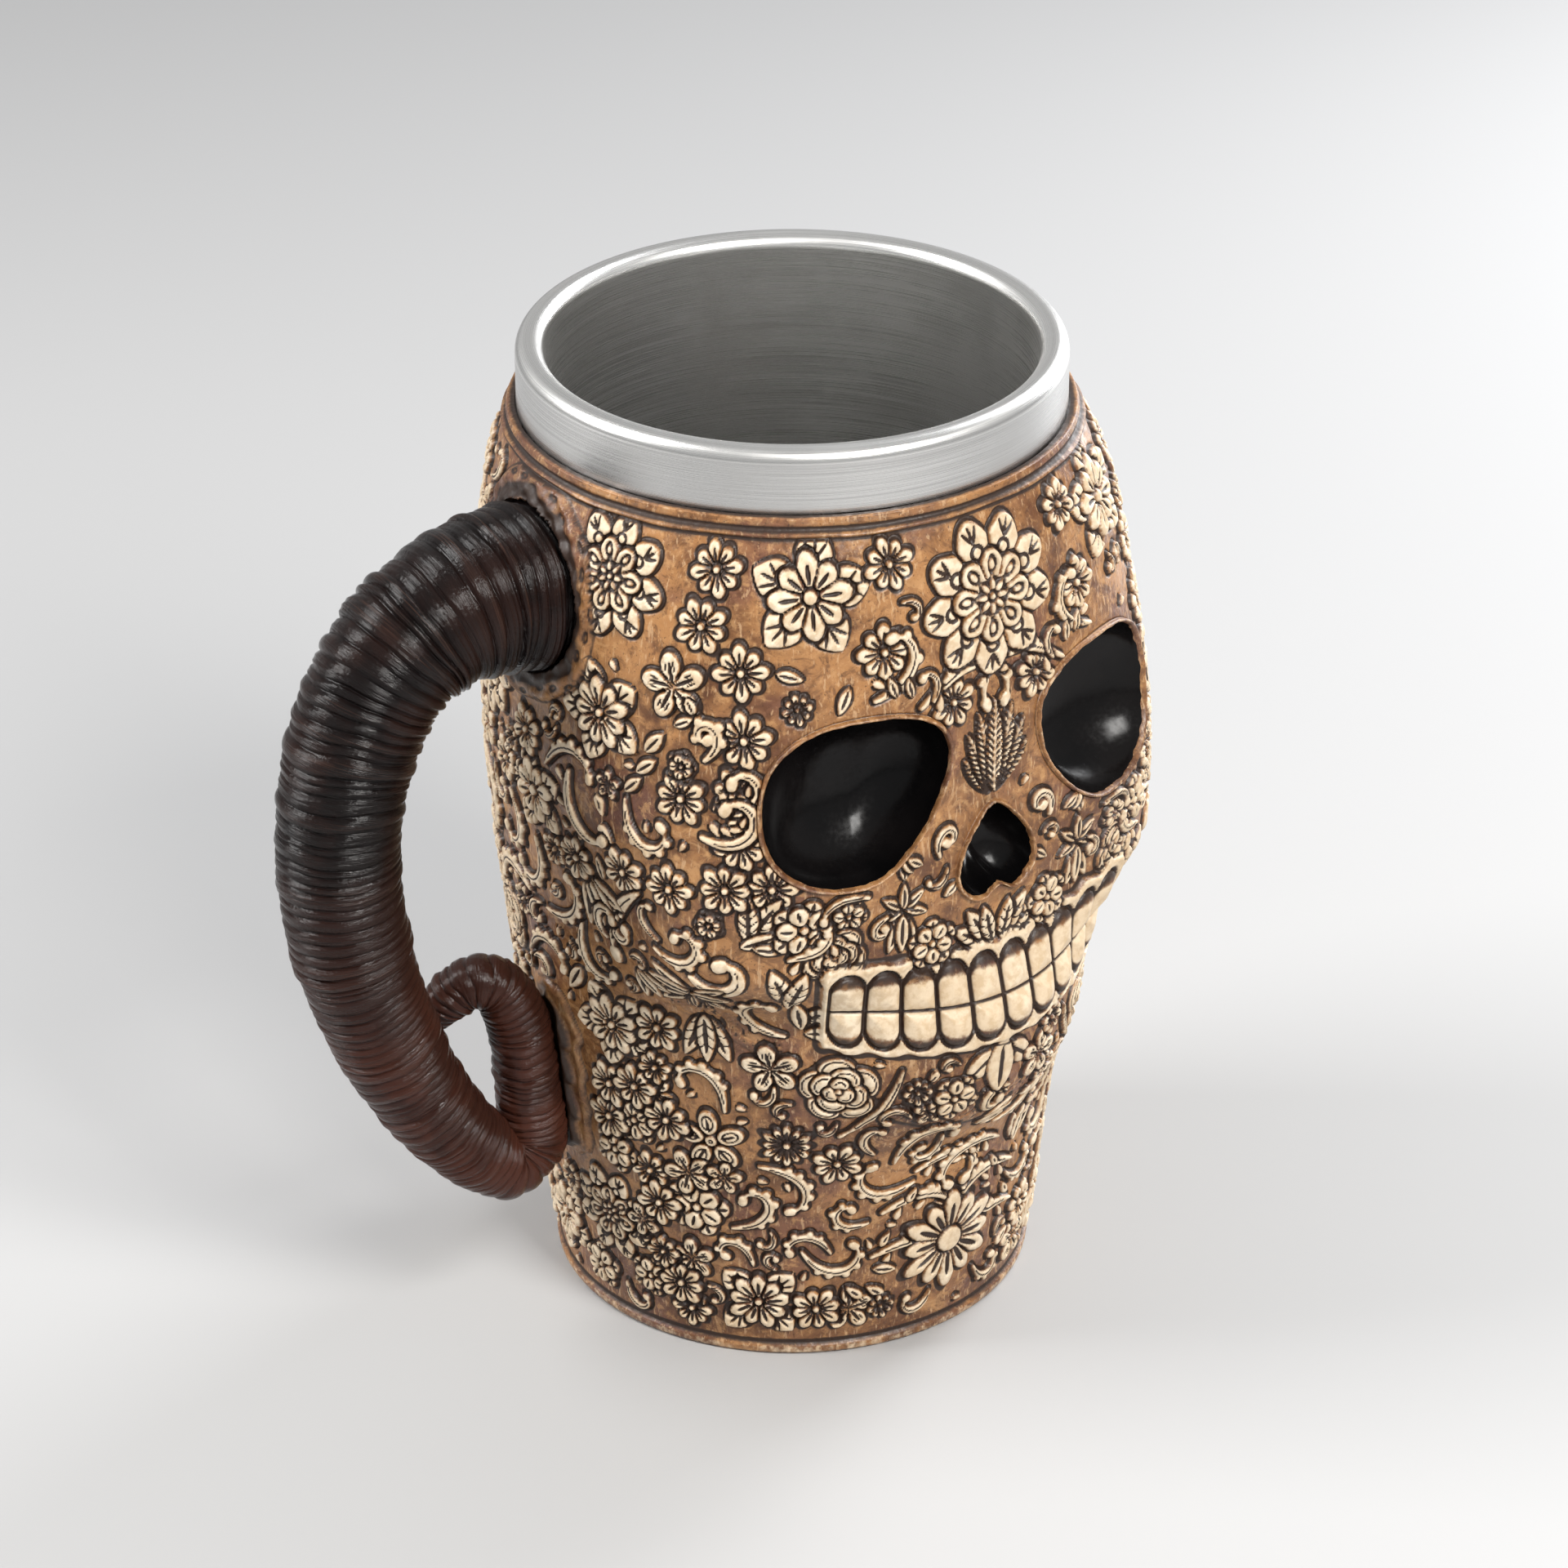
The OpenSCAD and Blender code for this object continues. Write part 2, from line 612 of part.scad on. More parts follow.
// Running length at each fine step, and its inverse
function running(list, i = 0, sum = 0) =
    i >= len(list) ? [sum] : concat([sum], running(list, i + 1, sum + list[i]));

horn_lengths = running(horn_steps);
horn_length = horn_lengths[len(horn_lengths) - 1];
horn_table = [for (i = [0:len(horn_lengths) - 1]) [horn_lengths[i], i / horn_fine]];

// A ring of the horn at a place along its centres, level with the root at the start
function horn_ring(t, out) =
    let (p = horn_place(t),
         ahead = horn_place(min(horn_spans, t + 0.05)),
         behind = horn_place(max(0, t - 0.05)),
         along = t == 0 ? [1, 0, 0] : (ahead - behind) / norm(ahead - behind),
         side0 = cross([0, 1, 0], along),
         side = side0 / norm(side0),
         face = cross(along, side),
         r = horn_curve(t)[3] + out)
    [for (i = [0:horn_sides - 1])
        let (w = 360 * i / horn_sides)
        p + r * cos(w) * side + r * sin(w) * face];

// The horn, whose crests and valleys take turns along its length
module horn_form() {
    rings = [for (k = [0:2 * ribs])
        let (share = 1 - pow(1 - k / (2 * ribs), rib_ease))
        horn_ring(lookup(share * horn_length, horn_table), k % 2 == 0 ? -rib_out : 0)];
    skin([for (ring = rings, p = ring) p], horn_sides);
}

// The horn's root socket in the shell, with the glue gap round it
module root_socket() {
    translate([root_x - glue_gap, 0, horn_h])
        rotate([0, 90, 0])
            cylinder(r = horn_knot(0)[3] + glue_gap, h = root_seat * 4);
}

// The shallow channel in the shell along which the horn's tail is glued: the tail with the glue gap round it
module tail_channel() {
    places = concat(spread(tail_low, tail_high, channel_steps), [tail_high]);
    skin([for (t = places, p = horn_ring(t, 2 * glue_gap)) p], horn_sides);
}

// A dowel along the handle's direction; play widens it into its hole
module dowel(x, z, r, l, play) {
    translate([x - play, 0, z])
        rotate([0, 90, 0])
            cylinder(r = r + play, h = l + 2 * play);
}

pin_play = glue_gap / 4;
module upper_pin(play) {
    dowel(root_x - upper_pin_in, horn_h, upper_pin_r, upper_pin_l, play);
}

module lower_pin(play) {
    a = horn_knot(tail_pin);
    dowel(a[0] - a[3] - lower_pin_in, a[1], lower_pin_r, lower_pin_l, play);
}

// The skull with its cavities and the room for the cup, before the handle's joints are cut
module skull_body() {
    difference() {
        skull_form();
        socket_bowl();
        mirror([1, 0, 0])
            socket_bowl();
        nose_bowl();
        cup_room();
        band_groove();
        at_handle()
            root_socket();
    }
}

module skull_shell() {
    color("peru")
        difference() {
            difference() {
                skull_body();
                at_handle()
                    tail_channel();
            }
            at_handle()
                upper_pin(pin_play);
            at_handle()
                lower_pin(pin_play);
        }
}

module steel_cup() {
    r = cup_r(cup_z);
    color("silver")
        rotate_extrude()
            polygon(concat(
                [[0, cup_z], [r - cup_corner_r, cup_z]],
                arc(r - cup_corner_r, cup_z + cup_corner_r, cup_corner_r, -90, 0),
                arc(mouth_r + lip_r, lip_z, lip_r - sheet_t, 180, 0),
                [[rim_r - sheet_t, band_z], [rim_r, band_z]],
                arc(mouth_r + lip_r, lip_z, lip_r, 0, 180),
                arc(r - cup_corner_r, cup_z + cup_corner_r, cup_corner_r - sheet_t, 0, -90),
                [[0, cup_z + sheet_t]]));
}

module rim_bond() {
    low = shell_h;
    high = shell_h + 2 * lip_r;
    color("dimgray")
        rotate_extrude()
            polygon([
                [cup_r(low) + steel_gap / 2, low],
                [rim_r - sheet_t - steel_gap / 2, low],
                [rim_r - sheet_t - steel_gap / 2, high],
                [cup_r(high) + steel_gap / 2, high]]);
}

module floor_bond() {
    color("gray")
        translate([0, 0, shell_floor_t])
            cylinder(r = cup_floor_r - cup_corner_r, h = bond_t);
}

module horn_handle() {
    color([0.16, 0.09, 0.07])
        at_handle()
            difference() {
                horn_form();
                upper_pin(pin_play);
                lower_pin(pin_play);
            }
}

module upper_dowel() {
    color("lightgray")
        at_handle()
            upper_pin(0);
}

module lower_dowel() {
    color("lightgray")
        at_handle()
            lower_pin(0);
}

skull_shell();
steel_cup();
rim_bond();
floor_bond();
horn_handle();
upper_dowel();
lower_dowel();
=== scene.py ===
import math

import bpy
import numpy as np
from bpy.props import (
    FloatProperty,
    FloatVectorProperty,
    IntProperty,
    PointerProperty,
)
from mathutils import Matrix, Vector


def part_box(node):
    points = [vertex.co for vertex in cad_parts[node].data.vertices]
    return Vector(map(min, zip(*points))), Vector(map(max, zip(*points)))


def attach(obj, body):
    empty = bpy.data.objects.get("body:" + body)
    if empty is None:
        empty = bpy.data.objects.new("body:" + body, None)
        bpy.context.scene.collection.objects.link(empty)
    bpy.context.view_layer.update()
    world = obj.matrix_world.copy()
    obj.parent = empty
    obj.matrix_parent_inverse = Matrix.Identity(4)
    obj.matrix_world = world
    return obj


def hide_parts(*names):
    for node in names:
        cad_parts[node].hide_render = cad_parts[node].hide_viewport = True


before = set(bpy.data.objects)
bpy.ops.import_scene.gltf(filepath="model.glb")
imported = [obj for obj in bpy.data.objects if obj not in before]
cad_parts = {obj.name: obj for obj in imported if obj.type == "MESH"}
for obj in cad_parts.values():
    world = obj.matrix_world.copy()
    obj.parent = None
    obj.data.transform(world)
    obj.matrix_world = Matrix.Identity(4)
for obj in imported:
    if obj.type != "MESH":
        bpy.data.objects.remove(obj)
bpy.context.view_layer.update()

bl_info = {
    "name": "Skull beer mug",
    "version": (1, 0, 0),
    "blender": (4, 5, 0),
    "location": "View3D > Sidebar > Skull Mug",
    "description": "Builds a cast skull mug with floral relief, a steel cup and a ribbed horn handle",
    "category": "Object",
}

MM = 0.001
SHELL_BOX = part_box("skull_shell")


# Settings

class MugShellSettings(bpy.types.PropertyGroup):
    relief: FloatProperty(
        name="Relief", description="Height of the floral relief over the ground",
        default=1.12 * MM, min=0.3 * MM, max=1.3 * MM, unit="LENGTH")
    inset: FloatProperty(
        name="Inset", description="How far the relief's tops stay inside the solid",
        default=0.12 * MM, min=0.05 * MM, max=0.3 * MM, unit="LENGTH")
    columns: IntProperty(
        name="Columns", description="Columns of the shell's surface round the mug",
        default=1120, min=320, max=1200)
    rows: IntProperty(
        name="Rows", description="Rows of the shell's surface from foot to neck",
        default=560, min=160, max=600)
    wedges: IntProperty(
        name="Wedges", description="Number of pieces that the shell's surface is made in",
        default=8, min=8, max=16)
    seed: IntProperty(
        name="Seed", description="Start of the random choices for the small filling leaves",
        default=11, min=0)
    bone: FloatVectorProperty(
        name="Bone", description="Colour of the relief's rubbed tops",
        default=(0.80, 0.665, 0.49), subtype="COLOR", min=0, max=1)
    amber: FloatVectorProperty(
        name="Amber", description="Colour of the ground's light patches",
        default=(0.385, 0.185, 0.068), subtype="COLOR", min=0, max=1)
    umber: FloatVectorProperty(
        name="Umber", description="Colour of the ground's dark patches",
        default=(0.125, 0.048, 0.018), subtype="COLOR", min=0, max=1)
    wash: FloatVectorProperty(
        name="Wash", description="Colour of the wash that stays in the cuts",
        default=(0.020, 0.0085, 0.0045), subtype="COLOR", min=0, max=1)


class MugHornSettings(bpy.types.PropertyGroup):
    rings: IntProperty(
        name="Rings", description="Rings of the horn's surface from root to tip",
        default=1480, min=400, max=1600)
    sides: IntProperty(
        name="Sides", description="Points of one ring",
        default=64, min=24, max=64)
    rib: FloatProperty(
        name="Rib pitch", description="Width of one rib at the root",
        default=2.15 * MM, min=1 * MM, max=4 * MM, unit="LENGTH")
    groove: FloatProperty(
        name="Groove", description="Depth of the grooves between the ribs at the root",
        default=1.3 * MM, min=0.2 * MM, max=1.4 * MM, unit="LENGTH")
    dark: FloatVectorProperty(
        name="Dark", description="Colour of the horn at its root",
        default=(0.0050, 0.0030, 0.0028), subtype="COLOR", min=0, max=1)
    warm: FloatVectorProperty(
        name="Warm", description="Colour of the horn at its tail",
        default=(0.062, 0.020, 0.012), subtype="COLOR", min=0, max=1)


class MugSteelSettings(bpy.types.PropertyGroup):
    turns: IntProperty(
        name="Turns", description="Columns of the cup's turned surface",
        default=320, min=96, max=512)
    # The steel colour is the inside's. The band outside is painted darker in steel_material, as painted
    # shade.
    steel: FloatVectorProperty(
        name="Steel", description="Colour of the brushed steel",
        default=(0.80, 0.795, 0.78), subtype="COLOR", min=0, max=1)


class MugStageSettings(bpy.types.PropertyGroup):
    distance: FloatProperty(
        name="Distance", description="Camera distance from the mug's axis",
        default=0.870, min=0.3, max=3, unit="LENGTH")
    elevation: FloatProperty(
        name="Elevation", description="Camera angle above the table",
        default=math.radians(28.63), subtype="ANGLE")
    azimuth: FloatProperty(
        name="Azimuth",
        description="Camera direction from the middle of the face, negative towards the handle",
        default=math.radians(-38.5), subtype="ANGLE")
    lens: FloatProperty(
        name="Lens", description="Focal length on a 36 mm sensor",
        default=128.06, min=50, max=200)
    floor: FloatVectorProperty(
        name="Floor", description="Colour of the floor and the backdrop",
        default=(0.47, 0.47, 0.47), subtype="COLOR", min=0, max=1)


# Sizes of the solids, in millimetres, as in the part's source

NECK_R, SHELL_H, FOOT_R = 43.45, 148.0, 38.6
TEMPLE_R, TEMPLE_H = 48.3, 94.0
CHEEK_OUT, CHEEK_H, CHEEK_DROP, CHEEK_AZ, CHEEK_INNER, CHEEK_OUTER = 8.2, 82.0, 17.5, 50.0, 27.0, 32.0
EYE_H, EYE_AZ, EYE_W, EYE_V, EYE_DEEP, EYE_RING = 105.2, 27.3, 13.8, 13.4, 10.0, 0.9
NOSE_TOP, NOSE_V, NOSE_W, NOSE_DEEP = 98.6, 15.4, 6.6, 7.0
MUZZLE_OUT, MUZZLE_SPREAD = 6.0, 35.0
BITE_H, BITE_RISE, UPPER_TOOTH, LOWER_TOOTH = 67.2, 2.6, 6.8, 6.0
TOOTH_AZ, HALF_TEETH, JAW_OUT, CHIN_H = 6.5, 5, 1.0, 43.0
ARCH_AZ = TOOTH_AZ * HALF_TEETH
AZ_MM = math.pi * TEMPLE_R / 180
SLANT_SHARE, EDGE_POWER, INNER_POWER = 0.32, 2.3, 2.0
NOSE_POWER, NOSE_LOW_SHARE, CLEFT_SHARE = 1.3, 0.35, 0.17
CUP_FLOOR_R, CUP_CORNER_R, SHEET_T, STEEL_GAP = 32.0, 8.0, 0.8, 0.25
RIM_R, MOUTH_R, MUG_H, CUP_Z, SHELL_FLOOR = 41.5, 37.2, 158.0, 9.0, 8.0
LIP_R, BAND_SEAT = 2.15, 1.5
LIP_Z = MUG_H - LIP_R
BAND_Z = SHELL_H - BAND_SEAT + STEEL_GAP
HORN_R, HORN_H, HORN_REACH, HORN_DROP, TIP_ASIDE = 13.7, 128.6, 79.6, 99.0, 7.6
HORN_TURN = 6.0
HORN_AZ = -90.0 - HORN_TURN
HORN_SHARES = np.array([
    [0.555, 0.000, 0.00, 0.995], [0.612, -0.002, 0.00, 0.985], [0.680, -0.002, 0.00, 0.925],
    [0.762, 0.010, 0.00, 0.865], [0.848, 0.045, 0.00, 0.815], [0.918, 0.108, 0.00, 0.775],
    [0.972, 0.203, 0.00, 0.745], [1.000, 0.320, 0.00, 0.725], [1.000, 0.430, 0.00, 0.710],
    [0.975, 0.557, 0.00, 0.690], [0.922, 0.691, 0.00, 0.645], [0.846, 0.824, 0.00, 0.575],
    [0.757, 0.930, 0.00, 0.510], [0.668, 0.996, 0.00, 0.465], [0.607, 0.968, 0.00, 0.435],
    [0.608, 0.900, 0.03, 0.415], [0.612, 0.830, 0.08, 0.400], [0.622, 0.755, 0.16, 0.385],
    [0.654, 0.694, 0.32, 0.365], [0.700, 0.684, 0.56, 0.340], [0.738, 0.712, 0.82, 0.300],
    [0.758, 0.752, 1.00, 0.200]])
HORN_KNOTS = HORN_SHARES * [HORN_REACH, -HORN_DROP, TIP_ASIDE, HORN_R] + [0, HORN_H, 0, 0]

# Sizes of the look alone, in millimetres and degrees

SEAM_AZ = -157.5
TOP_ROW_H = SHELL_H - 0.5
PLAIN_BELOW, PLAIN_ABOVE = 2.5, 144.6
FAR = 9.0
SWELL, GROOVE = 0.95, 0.23
TEETH_R = 51.5
ROOT_MOUND_R, TAIL_MOUND_R, TAIL_MOUND_H, TAIL_MOUND_HALF = 17.6, 6.4, 43.5, 9.5
PATH_POINTS = 26
TRIES = 1600
INNER_COLUMNS = 10
AROUND = 160
BEAD_RINGS, BOWL_RINGS = 10, 34
BEAD_SHARE = 0.75
BEAD_INK = (0.75, 0.05, 0.05, 0.05, 0.05)
BEAD_BONE = (0.1, 0.2, 0.3, 0.42, 0.46, 0.46, 0.42, 0.3, 0.15, 0.05)
INSIDE = {"ink": 0.4, "bone": 0.0, "high": 0.0}

# Sizes of the stage, in metres

FLOOR_HALF = 6.0
LAMP_AIM = (0, 0, 0.08)
CAMERA_TARGET = (0, 0, 0.0813)
SHIFT_X = -10 / 1920


# Small tools of arithmetic on whole arrays

def smooth(x, a, b):
    """Smooth step: 3t^2 - 2t^3 with t running from 0 at a to 1 at b."""
    t = np.clip((x - a) / (b - a), 0, 1)
    return t * t * (3 - 2 * t)


def bell(x, w):
    """Bell curve: exp(-(x / w)^2)."""
    return np.exp(-(x / w) ** 2)


def turned(az):
    """Brings degrees into the range -180 to 180."""
    return (np.asarray(az) + 180.0) % 360.0 - 180.0


# The skull's form

def round_form(h):
    """Radius of the plain form: foot + growth * (share*t + rest*t^8) up to the temples, then
    neck + (temple - neck) * (1 - t^5.5) up to the neck."""
    t = np.clip(h / TEMPLE_H, 0, 1)
    low = FOOT_R + (TEMPLE_R - FOOT_R) * (1.09 * t - 0.09 * t ** 8)
    u = np.clip((h - TEMPLE_H) / (SHELL_H - TEMPLE_H), 0, 1)
    high = NECK_R + (TEMPLE_R - NECK_R) * (1 - u ** 5.5)
    return np.where(h < TEMPLE_H, low, high)


def cheeks(az, h):
    """Cheekbones and brow corners: a bell over the azimuth each side, stepped in under the cheekbone."""
    up = np.clip((h - CHEEK_H) / (SHELL_H - CHEEK_H), 0, 1)
    along = smooth(h, CHEEK_H - CHEEK_DROP, CHEEK_H - CHEEK_DROP / 4) * (1 - up ** 1.3)
    back = CHEEK_OUTER * (1 - 0.4 * (1 - smooth(h, CHEEK_H, EYE_H)))
    past = np.abs(az) - CHEEK_AZ
    return CHEEK_OUT * along * (
        bell(past, np.where(past > 0, back, CHEEK_INNER)) + bell(np.abs(az) + CHEEK_AZ, CHEEK_INNER))


def muzzle(az, h):
    """Chin, tooth arch and upper lip: one bell over the azimuth times three smooth steps over the height."""
    low = smooth(h, CHIN_H - 2 * LOWER_TOOTH, CHIN_H + 1.5 * LOWER_TOOTH)
    lip = 1 - 0.64 * smooth(h, BITE_H - LOWER_TOOTH, BITE_H + 1.2 * UPPER_TOOTH)
    nose = 1 - smooth(h, NOSE_TOP - NOSE_V, NOSE_TOP + NOSE_V / 3)
    return MUZZLE_OUT * low * lip * nose * bell(az, MUZZLE_SPREAD)


def jaw_line(az):
    """Height of the jaw's lower edge, climbing from the chin to the ears by a smooth step."""
    return CHIN_H + (BITE_H - CHIN_H) * smooth(np.abs(az), 0, 2 * ARCH_AZ + TOOTH_AZ)


def jaw(az, h):
    """The ledge where the jaw stands out of the neck: a smooth step over the jaw line."""
    line = jaw_line(az)
    return (JAW_OUT * smooth(h, line - 3 * JAW_OUT, line + 2 * JAW_OUT)
            * (1 - smooth(h, BITE_H, CHEEK_H)) * bell(az, 2 * MUZZLE_SPREAD))


def socket(az, h):
    """Distance from a socket's centre, 1 on its edge: (|x|^p + |y|^p)^(1/p), p = 2.3 and 2 in the lower inner
    quarter, and narrower low down inside."""
    x = (np.abs(az) - EYE_AZ) * AZ_MM / EYE_W
    y = (h - EYE_H) / EYE_V
    wide = np.where(x < 0, 1 + SLANT_SHARE * np.clip(y, -1, 3), 1)
    p = np.where((x < 0) & (y < 0), INNER_POWER, EDGE_POWER)
    return (np.abs(x / wide) ** p + np.abs(y) ** p) ** (1 / p)


def bite(az):
    """Height of the line between the rows of teeth, rising to their ends."""
    return BITE_H + BITE_RISE * (1 - bell(az, ARCH_AZ)) / (1 - math.exp(-1))


def bone_r(az, h):
    """The skull's outer level without teeth: the sum of the forms above."""
    return (round_form(h) + cheeks(az, h) + muzzle(az, h) + jaw(az, h)
            + EYE_RING * bell(socket(az, h) - 1, 0.4))


def socket_edge(w, k):
    """Azimuth and height of the socket's outline at the angle w, scaled by k."""
    c, s = np.cos(w), np.sin(w)
    p = np.where((c < 0) & (s < 0), INNER_POWER, EDGE_POWER)
    x = np.sign(c) * np.abs(c) ** (2 / p)
    y = np.sign(s) * np.abs(s) ** (2 / p)
    wide = np.where(x < 0, 1 + SLANT_SHARE * y, 1)
    return EYE_AZ + k * x * wide * EYE_W / AZ_MM, EYE_H + k * y * EYE_V


def nose_edge(w, k):
    """Azimuth and height of the nose's outline, a heart upside down: x = sin^1.3, cleft at the foot."""
    s = np.sin(w)
    x = NOSE_W * np.sign(s) * np.abs(s) ** NOSE_POWER * (1 - NOSE_LOW_SHARE * np.cos(w))
    cleft = CLEFT_SHARE * NOSE_V * bell(x, NOSE_W / 3)
    down = (1 - np.cos(w)) / 2 * (NOSE_V - cleft)
    return k * x / AZ_MM, NOSE_TOP - NOSE_V / 2 + k * (NOSE_V / 2 - down)


def nose_edge_back(w, k):
    """The nose's outline run the same way round as the socket's, for a lining that faces outwards."""
    return nose_edge(-w, k)


def nose_share(az, h):
    """1 on the nose's outline, less inside, far off outside: the height from the outline's middle at this
    azimuth, divided by half the outline's height there."""
    w = np.linspace(0, math.pi, 400)
    a, z = nose_edge(w, 1.0)
    widest = int(np.argmax(a))
    x = np.abs(az)
    high = np.interp(x, a[:widest + 1], z[:widest + 1])
    low = np.interp(x, a[:widest - 1:-1], z[:widest - 1:-1])
    half = np.maximum((high - low) / 2, 0.05)
    return np.where(x < a[widest], np.minimum(np.abs(h - (high + low) / 2) / half, FAR), FAR)


def mm_per_degree(az, h):
    """Millimetres of the shell's outer level to one degree of azimuth at a place: radius * pi / 180."""
    return math.radians(1) * float(bone_r(np.array(turned(az)), np.array(h)))


# The relief: a sheet of heights, ink and bone over azimuth and height, into which motifs are pressed

class Sheet:
    """Arrays over rows of height and columns of azimuth: high in mm, ink and bone from 0 to 1, and the gap in
    mm to what is already pressed."""

    def __init__(self, az, h):
        self.az, self.h = az, h
        self.high = np.zeros((len(h), len(az)))
        self.ink = np.zeros_like(self.high)
        self.bone = np.zeros_like(self.high)
        self.gap = np.full(self.high.shape, FAR)

    def place(self, az, h, reach):
        """Index of the window round a place, and its local millimetres: x to the right, y up."""
        scale = mm_per_degree(az, h)
        off = turned(self.az - az)
        cols = np.nonzero(np.abs(off) * scale <= reach)[0]
        rows = np.nonzero(np.abs(self.h - h) <= reach)[0]
        cols = cols[np.argsort(off[cols])]
        x, y = np.meshgrid(off[cols] * scale, self.h[rows] - h)
        return np.ix_(rows, cols), x, y

    def press(self, at, d, top, dome=0.3, edge=0.15, line=1.0):
        """Raises a shape. d is the distance inside its edge in mm, and the height is top * (1 - share + share
        * quarter circle of d / SWELL). A dark groove along the outside of the edge parts it from the rest."""
        m = smooth(d, -edge, edge)
        groove = bell(d + GROOVE, GROOVE) * line
        high = self.high[at] * (1 - 0.9 * groove * (d < 0)) - 0.26 * groove * (d < 0)
        share = dome + 0.27
        body = top * (1 - share + share * np.sqrt(1 - (1 - np.clip(d / SWELL, 0, 1)) ** 2))
        self.high[at] = high * (1 - m) + body * m
        self.ink[at] = np.maximum(self.ink[at] * (1 - m), groove * (1 - smooth(d, -0.1, 0.2)))
        self.bone[at] = self.bone[at] * (1 - m) * (1 - 0.8 * groove) + m * (0.5 + 0.5 * smooth(d, 0.0, 0.5))
        self.gap[at] = np.minimum(self.gap[at], -d)

    def cut(self, at, d, depth=0.4):
        """Cuts a line: d is the distance inside it in mm."""
        m = smooth(d, -0.16, 0.14)
        self.high[at] = self.high[at] - depth * m * np.clip(self.high[at] / 0.5 + 0.4, 0, 1)
        self.ink[at] = np.maximum(self.ink[at], 0.8 * m)
        self.bone[at] *= 1 - 0.6 * m

    def cover(self, m, **levels):
        """Gives each named array a new level over the share m: old * (1 - m) + level * m."""
        for name, level in levels.items():
            setattr(self, name, getattr(self, name) * (1 - m) + level * m)

    def stain(self, m, ink):
        """Takes the share m off the ink and keeps the darker of what is left and the new ink."""
        self.ink = np.maximum(self.ink * (1 - m), ink)


def fold(x, y, n, turn):
    """Folds the plane into one of n petals: distance out along it, across it, and the petal's number."""
    phi = np.arctan2(x, y) - turn
    k = np.round(phi * n / (2 * math.pi))
    psi = phi - k * 2 * math.pi / n
    rho = np.hypot(x, y)
    return rho * np.cos(psi), rho * np.sin(psi), k.astype(int) % n


def parted(d, a, c, n, gap=0.14):
    """Keeps a petal inside its own sector of n, less a gap: the distance to the sector's edge is
    a * sin(pi / n) - |c| * cos(pi / n)."""
    return np.minimum(d, a * math.sin(math.pi / n) - np.abs(c) * math.cos(math.pi / n) - gap)


def oval(a, c, mid, half, wide):
    """Distance inside an ellipse centred at mid along a: (1 - sqrt((a-mid)^2/half^2 + c^2/wide^2)) * wide."""
    return (1 - np.sqrt(((a - mid) / half) ** 2 + (c / wide) ** 2)) * np.minimum(half, wide)


def leaf_shape(a, c, start, long, wide, power=0.8):
    """Distance inside a pointed leaf: its half width is wide * sin(pi * t)^power along it."""
    t = np.clip((a - start) / long, 0, 1)
    w = wide * np.sin(math.pi * t ** 0.85) ** power
    return w - np.abs(c) - 0.02 - 2.0 * np.maximum(np.abs((a - start) / long - 0.5) - 0.5, 0) * long


def slit(a, c, start, long, wide):
    """Distance inside a slit that tapers at both ends."""
    t = np.clip((a - start) / long, 0, 1)
    return wide * np.sqrt(np.clip(4 * t * (1 - t), 0, 1)) - np.abs(c) - np.where((t <= 0) | (t >= 1), 0.4, 0)


def turn_to(x, y, heading):
    """Local axes along a heading: 0 is up and 90 degrees is to the right."""
    s, c = math.sin(heading), math.cos(heading)
    return x * s + y * c, x * c - y * s


def three_veins(sheet, at, a, c, size, root, lean, long, wide):
    """Three slits that spread from one point of a leaf, the outer two turned by the lean to either side."""
    for turn in (-lean, 0, lean):
        u = (a - root * size) * math.cos(turn) + c * math.sin(turn)
        v = -(a - root * size) * math.sin(turn) + c * math.cos(turn)
        sheet.cut(at, slit(u, v, 0.02 * size, long * size, wide * size + 0.06), 0.45)


def daisy(sheet, az, h, size, turn=0.0, petals=8, core=0.14, top=0.85):
    """Flower of narrow petals, every second one shorter, each with a slit, round a small core."""
    at, x, y = sheet.place(az, h, size * 1.15)
    a, c, k = fold(x, y, petals, turn)
    short = np.where(k % 2 == 1, 0.88, 1.0)
    d = oval(a, c, 0.58 * size * short, 0.42 * size * short, size * 2.1 / petals)
    sheet.press(at, parted(d, a, c, petals), top, dome=0.35)
    sheet.cut(at, slit(a, c, 0.26 * size, 0.48 * size * short, 0.045 * size + 0.04), 0.5)
    sheet.press(at, core * size - np.hypot(x, y), top * 1.02, dome=0.2, line=0.8)


def clover(sheet, az, h, size, turn=0.0, petals=5, top=0.85):
    """Flower of broad round petals, each with a long slit and two short ones."""
    at, x, y = sheet.place(az, h, size * 1.2)
    a, c, _ = fold(x, y, petals, turn)
    d = np.maximum(oval(a, c, 0.62 * size, 0.38 * size, size * 1.5 / petals),
                   0.13 * size - np.abs(c) - np.maximum(a - 0.6 * size, 0))
    sheet.press(at, parted(d, a, c, petals, 0.05), top, dome=0.3)
    sheet.cut(at, slit(a, c, 0.10 * size, 0.64 * size, 0.05 * size + 0.04), 0.5)
    for side in (-1, 1):
        line = slit(a - 0.25 * size, c - side * 0.13 * size, 0.2 * size, 0.3 * size, 0.03 * size)
        sheet.cut(at, line, 0.35)


def star(sheet, az, h, size, turn=0.0, petals=6, top=0.9):
    """Flower of parted oval petals round a core, each with a line cut along its inside edge."""
    at, x, y = sheet.place(az, h, size * 1.15)
    a, c, _ = fold(x, y, petals, turn)
    arm = np.maximum(oval(a, c, 0.60 * size, 0.40 * size, 0.27 * size), 0.17 * size - np.hypot(x, y))
    sheet.press(at, arm, top, dome=0.3)
    sheet.cut(at, 0.12 - np.abs(arm - 0.12 * size), 0.4)
    sheet.cut(at, slit(a, c, 0.30 * size, 0.45 * size, 0.04 * size), 0.4)


